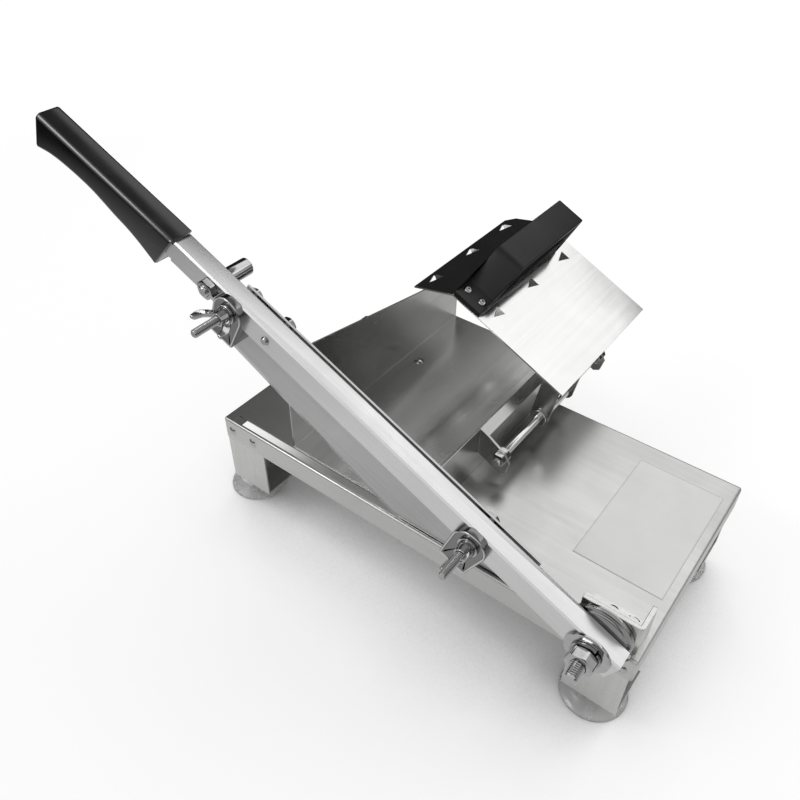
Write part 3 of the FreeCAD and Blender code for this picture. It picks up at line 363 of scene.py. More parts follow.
def soft_flat(reach):
    """Distances inwards and down of an edge that is a flat with two small roundings."""
    turns = [math.radians(angle) for angle in (0, 13, 27, 40, 45, 50, 63, 77, 90)]
    radii = [2, 2, 2, 15, 15, 2, 2, 2]
    along = up = 0.0
    points = [(along, up)]
    for start, end, radius in zip(turns, turns[1:], radii):
        along += radius * (math.cos(start) - math.cos(end))
        up += radius * (math.sin(end) - math.sin(start))
        points.append((along, up))
    size = reach / up
    return [(x * size, (up - y) * size) for x, y in points]


def grip_section(bottom, top, low_round, high_round, shrink=0.0, steps=6):
    """A rounded box across the grip, between a bottom and a top place along and up."""
    front = 17.5 - shrink
    back = -1.0 + shrink
    low = Vector(bottom)
    span = Vector(top) - low
    height = span.length
    unit = span / height
    ring = []
    corners = [(front, height - shrink, high_round, 0), (back, height - shrink, high_round, 1),
               (back, shrink, low_round, 2), (front, shrink, low_round, 3)]
    for depth, level, radius, quarter in corners:
        if quarter == 0:
            for inward, lift in soft_flat(radius * 1.5):
                place = low + unit * (level - lift)
                ring.append((-place.x, place.y, depth - inward))
            continue
        inward = -radius if depth == front else radius
        lift = -radius if level > height / 2 else radius
        for step in range(steps + 1):
            angle = math.pi / 2 * (quarter + step / steps)
            d = depth + inward + radius * math.cos(angle)
            h = level + lift + radius * math.sin(angle)
            place = low + unit * h
            ring.append((-place.x, place.y, d))
    return ring


def smooth_between(rows, count):
    """Rows of numbers drawn as one smooth curve through all of them."""
    result = []
    for i in range(len(rows) - 1):
        before = rows[max(i - 1, 0)]
        start, end = rows[i], rows[i + 1]
        after = rows[min(i + 2, len(rows) - 1)]
        for step in range(count):
            t = step / count
            result.append([0.5 * (2 * b + (c - a) * t + (2 * a - 5 * b + 4 * c - d) * t * t
                                  + (3 * b - a - 3 * c + d) * t ** 3)
                           for a, b, c, d in zip(before, start, end, after)])
    return result + [list(rows[-1])]


def grip_shell():
    """The black grip, drawn along the lever from its shoulder to its hooked end."""
    # Along and up of the bottom, along and up of the top, and the lower rounding.
    rows = [(368.0, -22.3, 356.2, 11.4, 3.0), (376.0, -20.6, 366.0, 11.3, 4.0),
            (386.0, -18.6, 379.0, 11.1, 5.0), (397.0, -17.3, 393.0, 10.9, 6.0),
            (408.0, -16.6, 406.0, 10.7, 6.4), (420.0, -14.9, 419.0, 10.5, 6.4),
            (432.0, -13.4, 432.0, 10.3, 6.2), (447.0, -13.2, 447.0, 10.1, 5.6),
            (462.0, -14.1, 462.0, 9.9, 5.0), (474.0, -15.9, 474.0, 9.7, 4.4),
            (482.0, -18.0, 482.0, 9.6, 3.6), (486.4, -19.2, 486.4, 9.5, 3.0)]
    rows = smooth_between(rows, 4)
    rings = []
    first, last = rows[0], rows[-1]
    for share in (1.0, 0.45, 0.12):
        rings.append(grip_section((first[0] - 0.8 * share, first[1]),
                                  (first[2] - 0.2 * share, first[3]),
                                  first[4] * (1 - 0.4 * share), 2.2 - share, 1.1 * share))
    for row in rows:
        rings.append(grip_section(row[:2], row[2:4], row[4], 2.4))
    for share in (0.15, 0.5, 0.9, 1.0):
        rings.append(grip_section((last[0] + 1.5 * math.sqrt(share), last[1] + 0.3),
                                  (last[2] + 1.5 * math.sqrt(share), last[3]),
                                  last[4] * (1 - 0.4 * share), 2.4 - 0.9 * share, 1.4 * share))
    return skin(rings)


def strap_outline():
    """The pusher's handle from the side: a flat foot, a rise, a long grip and a back foot."""
    return [(0, 0), (21.5, 0), (37.5, 27), (126.5, 27), (114, 4), (100, 4), (100, 0),
            (118, 0), (132, 31), (36, 31), (18.5, 4), (0, 4)]


def strap():
    reach = [0.6, 4.5, 4.5, 4.0, 2.0, 0.6, 0.6, 3.0, 5.0, 6.0, 3.0, 0.6]
    return pillow(rounded(strap_outline(), reach, 5), 0, STRAP_WIDTH, 0.9)


def cup():
    """A suction cup: a ribbed neck, a thin flaring skirt and a hollow underside."""
    profile = [(0, 19), (13.2, 19), (14.2, 18.4), (14.4, 17.2), (13.5, 16.2), (13.5, 14.2),
               (14.4, 13.2), (14.6, 12.0), (13.9, 11.0), (14.2, 8.6), (15.3, 6.5), (17.4, 4.9),
               (20.6, 3.2), (23.1, 1.5), (23.5, 0.8), (23.4, 0.2), (22.6, 0.0), (21.6, 0.5),
               (18.5, 2.1), (14.5, 3.2), (7.0, 4.2), (0, 4.5)]
    return lathe(rounded(profile, 0.6, 2, closed=False), 72)


# Pieces: shapes joined into one object, finished, named and put on their body.

def joined(shapes):
    """One mesh of several shapes, each given with its own place."""
    whole = bmesh.new()
    for shape, place in shapes:
        shape.transform(place)
        part = bpy.data.meshes.new("part")
        shape.to_mesh(part)
        shape.free()
        whole.from_mesh(part)
        bpy.data.meshes.remove(part)
    return whole


def piece(name, shapes, material, body, replaced, crease=32):
    """Make the object, shade it smooth up to its creases, and let it stand for its nodes."""
    whole = joined(shapes)
    bmesh.ops.recalc_face_normals(whole, faces=whole.faces)
    for face in whole.faces:
        face.smooth = True
    for edge in whole.edges:
        if len(edge.link_faces) == 2 and edge.calc_face_angle(0) > math.radians(crease):
            edge.smooth = False
    data = bpy.data.meshes.new(name)
    whole.to_mesh(data)
    whole.free()
    data.materials.append(material)
    made = bpy.data.objects.new(name, data)
    bpy.context.scene.collection.objects.link(made)
    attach(made, body)
    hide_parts(*replaced)
    return made


def dress(name, material, soft=0.25):
    """Give a solid that keeps its shape its finish and slightly broken edges."""
    solid = frame["nodes"][name]
    solid.material_slots[0].material = material
    if soft:
        weld = solid.modifiers.new("weld", "WELD")
        weld.merge_threshold = 0.002 * MM
        edge = solid.modifiers.new("broken edges", "BEVEL")
        edge.width = soft * MM
        edge.segments = 2
        edge.limit_method = "ANGLE"
        edge.angle_limit = math.radians(40)
        edge.harden_normals = True
    return solid


# Shader helpers.

def add(tree, kind, sockets=None, **settings):
    made = tree.nodes.new(kind)
    for name, value in settings.items():
        setattr(made, name, value)
    for name, value in (sockets or {}).items():
        made.inputs[name].default_value = value
    return made


def link(tree, source, target):
    tree.links.new(source, target)


def arithmetic(tree, operation, first, second):
    """A maths node whose inputs are numbers or other nodes' outputs."""
    made = add(tree, "ShaderNodeMath", operation=operation)
    for i, value in enumerate((first, second)):
        if isinstance(value, (int, float)):
            made.inputs[i].default_value = value
        else:
            link(tree, value, made.inputs[i])
    return made.outputs[0]


def spread(tree, value, from_low, from_high, to_low, to_high):
    made = add(tree, "ShaderNodeMapRange", {"From Min": from_low, "From Max": from_high,
                                            "To Min": to_low, "To Max": to_high})
    link(tree, value, made.inputs["Value"])
    return made.outputs["Result"]


def blend_colours(tree, factor, first, second):
    made = add(tree, "ShaderNodeMix", data_type="RGBA")
    link(tree, factor, made.inputs["Factor"])
    for name, value in (("A", first), ("B", second)):
        socket = [s for s in made.inputs if s.name == name and s.type == "RGBA"][0]
        if isinstance(value, tuple):
            socket.default_value = (*value, 1)
        else:
            link(tree, value, socket)
    return [s for s in made.outputs if s.type == "RGBA"][0]


def new_group(name, inputs, outputs):
    tree = bpy.data.node_groups.new(name, "ShaderNodeTree")
    for label, kind, value in inputs:
        socket = tree.interface.new_socket(label, in_out="INPUT", socket_type=kind)
        if value is not None:
            socket.default_value = value
    for label in outputs:
        tree.interface.new_socket(label, in_out="OUTPUT", socket_type="NodeSocketFloat")
    return tree, tree.nodes.new("NodeGroupInput"), tree.nodes.new("NodeGroupOutput")


def brushed_grain():
    """Fine lines along X, as left by a belt or by rolling, with slow changes between them."""
    tree, start, end = new_group(
        "brushed grain", [("Vector", "NodeSocketVector", None),
                          ("Along", "NodeSocketFloat", 8.0),
                          ("Across", "NodeSocketFloat", 260.0)], ["Lines", "Bands"])
    scale = add(tree, "ShaderNodeCombineXYZ")
    link(tree, start.outputs["Along"], scale.inputs["X"])
    link(tree, start.outputs["Across"], scale.inputs["Y"])
    link(tree, start.outputs["Across"], scale.inputs["Z"])
    stretched = add(tree, "ShaderNodeVectorMath", operation="MULTIPLY")
    link(tree, start.outputs["Vector"], stretched.inputs[0])
    link(tree, scale.outputs[0], stretched.inputs[1])
    lines = add(tree, "ShaderNodeTexNoise", {"Scale": 1.0, "Detail": 7.0, "Roughness": 0.7})
    link(tree, stretched.outputs[0], lines.inputs["Vector"])
    bands = add(tree, "ShaderNodeTexNoise", {"Scale": 0.11, "Detail": 2.0, "Roughness": 0.5})
    link(tree, stretched.outputs[0], bands.inputs["Vector"])
    link(tree, spread(tree, lines.outputs["Fac"], 0.3, 0.7, 0, 1), end.inputs["Lines"])
    link(tree, spread(tree, bands.outputs["Fac"], 0.3, 0.7, 0, 1), end.inputs["Bands"])
    return tree


def handling_marks():
    """Wiped smudges and hair scratches, as a used metal or plastic face has."""
    tree, start, end = new_group(
        "handling marks", [("Vector", "NodeSocketVector", None),
                           ("Size", "NodeSocketFloat", 14.0)], ["Smudge", "Scratch"])
    smudge = add(tree, "ShaderNodeTexNoise", {"Detail": 4.0, "Roughness": 0.6,
                                              "Distortion": 0.8})
    link(tree, start.outputs["Vector"], smudge.inputs["Vector"])
    link(tree, start.outputs["Size"], smudge.inputs["Scale"])
    turned = add(tree, "ShaderNodeMapping", {"Rotation": (0.3, 0.5, 0.9),
                                             "Scale": (9, 900, 900)})
    link(tree, start.outputs["Vector"], turned.inputs["Vector"])
    hairs = add(tree, "ShaderNodeTexNoise", {"Scale": 1.0, "Detail": 1.0, "Distortion": 0.2})
    link(tree, turned.outputs[0], hairs.inputs["Vector"])
    offset = arithmetic(tree, "SUBTRACT", hairs.outputs["Fac"], 0.5)
    distance = arithmetic(tree, "ABSOLUTE", offset, 0.0)
    line = spread(tree, distance, 0.0, 0.010, 1, 0)
    patch = spread(tree, smudge.outputs["Fac"], 0.5, 0.62, 0, 1)
    link(tree, spread(tree, smudge.outputs["Fac"], 0.32, 0.68, 0, 1), end.inputs["Smudge"])
    link(tree, arithmetic(tree, "MULTIPLY", line, patch), end.inputs["Scratch"])
    return tree


def moulded_grain():
    """The fine pebbled grain of a moulded plastic face."""
    tree, start, end = new_group(
        "moulded grain", [("Vector", "NodeSocketVector", None),
                          ("Size", "NodeSocketFloat", 1400.0)], ["Pebble", "Mottle"])
    pebbles = add(tree, "ShaderNodeTexVoronoi", feature="SMOOTH_F1")
    link(tree, start.outputs["Vector"], pebbles.inputs["Vector"])
    link(tree, start.outputs["Size"], pebbles.inputs["Scale"])
    slow = add(tree, "ShaderNodeTexNoise", {"Scale": 45.0, "Detail": 5.0, "Roughness": 0.6})
    link(tree, start.outputs["Vector"], slow.inputs["Vector"])
    link(tree, pebbles.outputs["Distance"], end.inputs["Pebble"])
    link(tree, spread(tree, slow.outputs["Fac"], 0.3, 0.7, 0, 1), end.inputs["Mottle"])
    return tree


GRAIN = brushed_grain()
MARKS = handling_marks()
PEBBLES = moulded_grain()


def surface(name, turn=(0, 0, 0)):
    """An empty material with its shader and the object's own coordinates, turned to its grain."""
    material = bpy.data.materials.new(name)
    material.use_nodes = True
    tree = material.node_tree
    shader = tree.nodes["Principled BSDF"]
    place = add(tree, "ShaderNodeTexCoord")
    turned = add(tree, "ShaderNodeMapping", {"Rotation": turn})
    link(tree, place.outputs["Object"], turned.inputs["Vector"])
    return material, tree, shader, turned.outputs[0]


def use_group(tree, group, place, sockets=None):
    made = add(tree, "ShaderNodeGroup", node_tree=group)
    for name, value in (sockets or {}).items():
        made.inputs[name].default_value = value
    link(tree, place, made.inputs["Vector"])
    return made.outputs


def emboss(tree, height, strength, distance):
    """A fine relief of the given height in millimetres."""
    bump = add(tree, "ShaderNodeBump", {"Strength": strength, "Distance": distance * MM})
    link(tree, height, bump.inputs["Height"])
    return bump.outputs["Normal"]


def metal(name, bright, dull, polish, matt, along=8.0, across=260.0, turn=(0, 0, 0),
          relief=0.12, size=14.0):
    """A metal between a bright and a dull tone and between two roughnesses."""
    material, tree, shader, place = surface(name, turn)
    shader.inputs["Metallic"].default_value = 1.0
    grain = use_group(tree, GRAIN, place, {"Along": along, "Across": across})
    marks = use_group(tree, MARKS, place, {"Size": size})
    mixed = arithmetic(tree, "ADD", arithmetic(tree, "MULTIPLY", grain["Lines"], 0.45),
                       arithmetic(tree, "MULTIPLY", grain["Bands"], 0.35))
    tone = arithmetic(tree, "ADD", mixed, arithmetic(tree, "MULTIPLY", marks["Smudge"], 0.3))
    plain = blend_colours(tree, tone, bright, dull)
    worn = blend_colours(tree, arithmetic(tree, "MULTIPLY", marks["Scratch"], 0.5), plain,
                         tuple(min(1.0, part * 1.12) for part in bright))
    link(tree, worn, shader.inputs["Base Color"])
    sheen = arithmetic(tree, "ADD", arithmetic(tree, "MULTIPLY", marks["Smudge"], 0.6),
                       arithmetic(tree, "MULTIPLY", grain["Lines"], 0.4))
    link(tree, spread(tree, sheen, 0, 1, polish, matt), shader.inputs["Roughness"])
    link(tree, emboss(tree, grain["Lines"], relief, 0.05), shader.inputs["Normal"])
    return material


def object_place(tree):
    """The three parts of a point's place in the object's own coordinates."""
    place = add(tree, "ShaderNodeTexCoord")
    parts = add(tree, "ShaderNodeSeparateXYZ")
    link(tree, place.outputs["Object"], parts.inputs[0])
    return parts.outputs


def paint_shade(material, mask, tone):
    """Paint shade into a material: its colour goes to a grey where the mask is one."""
    tree = material.node_tree
    socket = tree.nodes["Principled BSDF"].inputs["Base Color"]
    before = socket.links[0].from_socket
    link(tree, blend_colours(tree, mask, before, (tone, tone, tone)), socket)


def sheet_steel():
    return metal("sheet steel", (0.56, 0.56, 0.552), (0.49, 0.49, 0.482),
                 polish=0.27, matt=0.38)


def trough_steel():
    return metal("trough steel", (0.41, 0.41, 0.405), (0.32, 0.32, 0.315),
                 polish=0.18, matt=0.30, turn=(0, 0, math.pi / 2))


def leg_steel():
    return metal("leg steel", (0.60, 0.60, 0.59), (0.51, 0.51, 0.50),
                 polish=0.20, matt=0.34, turn=(0, math.pi / 2, 0))


def pusher_steel():
    """Bright sheet whose hem under the right edge is coloured near black as a painted shade."""
    material = metal("pusher steel", (0.70, 0.70, 0.695), (0.65, 0.65, 0.645),
                     polish=0.10, matt=0.19, turn=(0, 0, math.pi / 2), relief=0.06)
    parts = object_place(material.node_tree)
    # Painted shade: below and right of the hem's place the colour goes to near black.
    hem = on_tray(*HEM_PLACE)
    under = spread(material.node_tree, parts["Z"], hem.z, hem.z - 0.4 * MM, 0, 1)
    right = spread(material.node_tree, parts["X"], hem.x, hem.x + MM, 0, 1)
    paint_shade(material, arithmetic(material.node_tree, "MULTIPLY", under, right), 0.08)
    return material


def lever_alloy():
    return metal("lever alloy", (0.67, 0.67, 0.67), (0.60, 0.60, 0.60),
                 polish=0.24, matt=0.36, along=10.0, across=420.0,
                 turn=(0, -LEVER_TILT, 0), relief=0.1)


def blade_steel():
    return metal("blade steel", (0.46, 0.46, 0.46), (0.36, 0.36, 0.36),
                 polish=0.16, matt=0.28, along=6.0, across=600.0,
                 turn=(0, -LEVER_TILT, 0), relief=0.2)


def bright_steel():
    return metal("bright steel", (0.50, 0.50, 0.50), (0.38, 0.38, 0.38),
                 polish=0.08, matt=0.17, along=120.0, relief=0.04, size=60.0)


def turned_steel():
    return metal("turned steel", (0.42, 0.42, 0.42), (0.30, 0.30, 0.30),
                 polish=0.12, matt=0.22, along=200.0, across=700.0, relief=0.06, size=60.0)


def clamp_casting():
    """Polished on its rim; the sunken dish behind it is coloured dark as painted shade and dark
    reflection.
    """
    material = metal("clamp casting", (0.62, 0.62, 0.62), (0.50, 0.50, 0.50),
                     polish=0.10, matt=0.24, along=120.0, across=160.0, relief=0.1, size=80.0)
    # Painted shade and dark reflection: the dish behind the rim is coloured dark grey.
    rim = CORNER.y - (LEVER_FRONT + 4.9) * MM
    dish = CORNER.y - (LEVER_FRONT + 4.5) * MM
    parts = object_place(material.node_tree)
    paint_shade(material, spread(material.node_tree, parts["Y"], rim, dish, 0, 1), 0.20)
    return material


def rod_steel():
    return metal("rod steel", (0.62, 0.62, 0.62), (0.50, 0.50, 0.50),
                 polish=0.08, matt=0.16, along=400.0, across=60.0, relief=0.04, size=40.0)


def black_plastic(name, tone, polish, matt, gloss, pebble, relief):
    material, tree, shader, place = surface(name)
    shader.inputs["Specular IOR Level"].default_value = gloss
    grain = use_group(tree, PEBBLES, place, {"Size": pebble})
    marks = use_group(tree, MARKS, place, {"Size": 30.0})
    light = tuple(part * 1.6 + 0.002 for part in tone)
    mottled = blend_colours(tree, grain["Mottle"], tone, light)
    rubbed = blend_colours(tree, arithmetic(tree, "MULTIPLY", marks["Scratch"], 0.4), mottled,
                           (0.10, 0.10, 0.10))
    link(tree, rubbed, shader.inputs["Base Color"])
    sheen = arithmetic(tree, "ADD", arithmetic(tree, "MULTIPLY", marks["Smudge"], 0.6),
                       arithmetic(tree, "MULTIPLY", grain["Mottle"], 0.4))
    link(tree, spread(tree, sheen, 0, 1, polish, matt), shader.inputs["Roughness"])
    link(tree, emboss(tree, grain["Pebble"], relief, 0.06), shader.inputs["Normal"])
    return material


def grip_plastic():
    return black_plastic("grip plastic", (0.003, 0.003, 0.0035),
                         polish=0.12, matt=0.20, gloss=0.5, pebble=1500.0, relief=0.03)


def strap_plastic():
    return black_plastic("strap plastic", (0.007, 0.007, 0.008),
                         polish=0.36, matt=0.50, gloss=0.32, pebble=1100.0, relief=0.12)


def cup_plastic():
    """Soft clear plastic with faint clouds and dust on its skin."""
    material, tree, shader, place = surface("cup plastic")
    shader.inputs["Transmission Weight"].default_value = 0.75
    shader.inputs["IOR"].default_value = 1.42
    grain = use_group(tree, PEBBLES, place, {"Size": 500.0})
    marks = use_group(tree, MARKS, place, {"Size": 60.0})
    clear = blend_colours(tree, grain["Mottle"], (0.88, 0.885, 0.88), (0.78, 0.785, 0.78))
    link(tree, clear, shader.inputs["Base Color"])
    link(tree, spread(tree, marks["Smudge"], 0, 1, 0.12, 0.34), shader.inputs["Roughness"])
    link(tree, emboss(tree, grain["Mottle"], 0.12, 0.2), shader.inputs["Normal"])
    return material


def label_film():
    """Plain satin film, a little paler than the steel, with a thin shade along its rim."""
    low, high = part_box("blank_label")
    middle = (low + high) / 2
    material, tree, shader, place = surface("label film")
    centred = add(tree, "ShaderNodeVectorMath", operation="SUBTRACT")
    centred.inputs[1].default_value = middle
    link(tree, place, centred.inputs[0])
    size = add(tree, "ShaderNodeVectorMath", operation="ABSOLUTE")
    link(tree, centred.outputs[0], size.inputs[0])
    parts = add(tree, "ShaderNodeSeparateXYZ")
    link(tree, size.outputs[0], parts.inputs[0])
    rim = 0.7 * MM
    across = spread(tree, parts.outputs["X"], (high.x - low.x) / 2 - rim,
                    (high.x - low.x) / 2 - rim * 0.6, 0, 1)
    back = spread(tree, parts.outputs["Y"], (high.y - low.y) / 2 - rim,
                  (high.y - low.y) / 2 - rim * 0.6, 0, 1)
    marks = use_group(tree, MARKS, place, {"Size": 22.0})
    field = blend_colours(tree, marks["Smudge"], (0.79, 0.79, 0.785), (0.75, 0.75, 0.745))
    edge = arithmetic(tree, "MAXIMUM", across, back)
    shaded = blend_colours(tree, arithmetic(tree, "MULTIPLY", edge, 0.75), field,
                           (0.45, 0.45, 0.45))
    link(tree, shaded, shader.inputs["Base Color"])
    link(tree, spread(tree, marks["Smudge"], 0, 1, 0.32, 0.5), shader.inputs["Roughness"])
    link(tree, emboss(tree, marks["Smudge"], 0.1, 0.1), shader.inputs["Normal"])
    return material


SHEET = sheet_steel()
TROUGH = trough_steel()
LEG = leg_steel()
PUSHER = pusher_steel()
LEVER = lever_alloy()
BLADE = blade_steel()
BRIGHT = bright_steel()
TURNED = turned_steel()
CLAMP = clamp_casting()
ROD = rod_steel()
GRIP = grip_plastic()
STRAP = strap_plastic()
CUP = cup_plastic()
FILM = label_film()


# Solids that keep their shape.

def dress_solids():
    dress("base_tray", SHEET, 0.3)
    dress("blank_label", FILM, 0)
    for corner in CORNER_NAMES:
        dress("leg_%s" % corner, LEG, 0.3)
    dress("pivot_bracket", LEG, 0.4)
    dress("pivot_angle", LEG, 0.4)
    dress("meat_trough", TROUGH, 0.25)
    dress("pusher_plate", PUSHER, 0.2)
    dress("pusher_cheek_front", TROUGH, 0.2)
    dress("pusher_cheek_rear", TROUGH, 0.2)
    dress("lever_bar", LEVER, 0.03)
    dress("blade", BLADE, 0)
    dress("guide_rod", ROD, 0.5)
    dress("slide_bush", ROD, 0.3)
    dress("blade_spacers", BRIGHT, 0.15)
    dress("foot_nuts", BRIGHT, 0.15)
    for name in ("leg_rivets", "trough_rivets"):
        dress(name, BRIGHT, 0)


# Pieces that stand for plain solids.

def cup_ends(corner):
    """The middle of a cup's underside and of its top."""
    low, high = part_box("suction_cup_%s" % corner)
    across, back = (low.x + high.x) / 2, (low.y + high.y) / 2
    return Vector((across, back, low.z)), Vector((across, back, high.z))


def make_cups():
    for corner in CORNER_NAMES:
        bottom = cup_ends(corner)[0]
        piece("cup_%s" % corner, [(cup(), Matrix.Translation(bottom))],
              CUP, "base", ["suction_cup_%s" % corner], 50)


def make_cup_fixings():
    """A stud that starts inside each cup's neck, and its nut on top of the leg's foot."""
    studs = []
    nuts = []
    for corner in CORNER_NAMES:
        top = cup_ends(corner)[1]
        studs.append((threaded(2.5, 0.8, 15.5, 7.5),
                      Matrix.Translation(top + Vector((0, 0, -8 * MM)))))
        nuts.append((hexagon(8, 4, 2.45), Matrix.Translation(top + Vector((0, 0, 1.5 * MM)))))
    piece("stud_set", studs, TURNED, "base", ["cup_studs"])
    piece("stud_nut_set", nuts, BRIGHT, "base", ["cup_nuts"])


def hinge_place(depth, turn=0.0):
    """Matrix on the hinge's axis, at a depth in front of the tray's front face."""
    return facing_front((HINGE.x, CORNER.y - depth * MM, HINGE.z), turn)


def domed_disc():
    """A disc whose front is stepped down towards its rim."""
    profile = [(5.1, 0), (20.5, 0), (20.5, 0.8), (19.4, 1.25), (17.4, 1.35), (16.5, 2.15),
               (5.1, 2.15)]
    return lathe(rounded(profile, 0.5), 96, loop=True)


def make_hinge():
    piece("hinge_discs", [(domed_disc(), hinge_place(-1.75)),
                          (washer(20.5, 5.1, 2.15, 0.7, 96), hinge_place(-3.9))],
          TURNED, "base", ["pivot_spacers"])
    piece("hinge_washer", [(washer(15, 5.1, 2, 0.5, 96), hinge_place(15.1))],
          BRIGHT, "base", ["pivot_washer_front"])
    piece("hinge_spring_washer", [(split_ring(9.9, 5.2, 1.9, 0.5), hinge_place(17.1, 0.9))],
          TURNED, "base", ["pivot_spring_washer"])
    piece("hinge_nut", [(hexagon(17, 8, 4.9), hinge_place(19.6, math.radians(13)))],
          BRIGHT, "base", ["pivot_nut"])
    piece("hinge_bolt", [(threaded(4.98, 1.5, 47.6, 28), hinge_place(-10)),
                         (hexagon(17, 6.5), hinge_place(-16.5))],
          BRIGHT, "base", ["pivot_bolt"])


def make_bracket_fixings():
    place = on_tray(*STUD_PLACE)
    behind = Matrix.Rotation(math.pi, 4, "X")

    def facing_back(depth):
        return facing_front(place + Vector((0, depth * MM, 0))) @ behind

    piece("bracket_stud", [(threaded(2.98, 1.0, 13, 5), facing_back(4))],
          TURNED, "base", ["bracket_screw"])
    piece("bracket_stud_nut", [(hexagon(10, 5, 2.9), facing_back(10))],
          BRIGHT, "base", ["bracket_nut"])
    screws = [(socket_screw(head=4.25, rise=2, shank=2.45, length=10.2, key=2.6),
               Matrix.Translation(on_tray(across, FOOT_SCREWS_BACK, FOOT_GAUGE)))
              for across in FOOT_SCREWS_ACROSS]
    piece("foot_screw_set", screws, BRIGHT, "base", ["foot_screws"])


def make_stop():
    post = rounded([(0, 0), (6, 0), (6, 18.5), (0, 18.5)], [0, 0.5, 0.9, 0], 3, closed=False)
    back = Matrix.Rotation(math.pi, 4, "X")
    piece("stop_post", [(lathe(post, 64), on_lever(*STOP_PLACE, LEVER_BACK) @ back),
                        (threaded(3.98, 1.25, 21.5, 14.5), on_lever(*STOP_PLACE, LEVER_BACK))],
          BRIGHT, "lever", ["stop_pin"])
    piece("stop_post_nut", [(hexagon(13, 5, 3.9), on_lever(*STOP_PLACE, LEVER_FRONT))],
          BRIGHT, "lever", ["stop_nut"])


def lever_bolt(along, up, length, plain):
    """Shank and head of a bolt that comes through the lever from behind."""
    return [(threaded(2.98, 1.0, length, plain), on_lever(along, up, BOLT_SHANK_START)),
            (hexagon(10, 4), on_lever(along, up, BOLT_HEAD_START) @ HEAD_TURN)]


def make_blade_bolts():
    bolts = []
    for along in WING_BOLTS.values():
        bolts += lever_bolt(along, WING_BOLT_UP, 51.5, 23)
    piece("wing_bolt_set", bolts, TURNED, "lever", ["wing_bolts"])
    piece("blade_bolt", lever_bolt(BLADE_BOLT_ALONG, 0, 21, 8),
          TURNED, "lever", ["blade_screw"])


def make_clamps():
    for name, along in WING_BOLTS.items():
        place = on_lever(along, WING_BOLT_UP, LEVER_FRONT)
        piece("clamp_%s" % name, [(dished_plate(arch(12.5, 10.5, 25.9), 5, 3.2), place),
                                  (clamp_hook(), place.copy())],
              CLAMP, "lever", ["clamp_block_%s" % name])
    rings = [(washer(7, 3.1, 1.5, 0.35, 48), on_lever(along, WING_BOLT_UP, CLAMP_DISH))
             for along in WING_BOLTS.values()]
    piece("wing_washer_set", rings, BRIGHT, "lever", ["clamp_washers"])


def make_wing_nuts():
    for name, turn in WING_NUT_TURNS.items():
        centre = Vector(JOINTS["%s_wing_nut_turn" % name]["pos_m"])
        place = facing_front(centre, turn)
        shapes = [(wing_hub(), place), (wing_blade(1), place.copy()),
                  (wing_blade(-1), place.copy())]
        piece("wing_nut_%s_cast" % name, shapes, BRIGHT,
              "%s_wing_nut" % name, ["wing_nut_%s" % name])


def make_grip():
    piece("grip", [(grip_shell(), on_lever(0, 0, 0))], GRIP, "lever",
          ["handle_grip"], 50)


def make_rod_nuts():
    nuts = []
    along_rod = Matrix.Rotation(-math.pi / 2, 4, "X")
    for back in ROD_NUT_STARTS:
        place = Matrix.Translation(on_tray(ROD_ACROSS, back, ROD_UP))
        nuts.append((hexagon(10, 4, 2.95), place @ along_rod))
    piece("rod_nut_set", nuts, BRIGHT, "base", ["rod_nuts"])


def make_pusher_handle():
    piece("strap_handle", [(strap(), on_pusher_face(0, 0, 0))], STRAP, "pusher",
          ["pusher_handle"], 40)
    stand = axes((0, 0, 1), (1, 0, 0), (0, 1, 0))
    screws = [(socket_screw(head=3.5, rise=2, shank=1.95, length=4, key=2.2),
               on_pusher_face(down, back, STRAP_GAUGE) @ stand)
              for down, back in ((5.5, 10), (19.5, 10), (12.5, 107))]
    piece("strap_screw_set", screws, TURNED, "pusher", ["handle_screws"])


# Studio: a white table in a dim room, with a soft lamp high behind and a small one in front.

def is_seen(tree, kinds):
    """One for the given kinds of ray and zero for the others."""
    path = add(tree, "ShaderNodeLightPath")
    total = path.outputs["Is %s Ray" % kinds[0]]
    for kind in kinds[1:]:
        total = arithmetic(tree, "MAXIMUM", total, path.outputs["Is %s Ray" % kind])
    return total


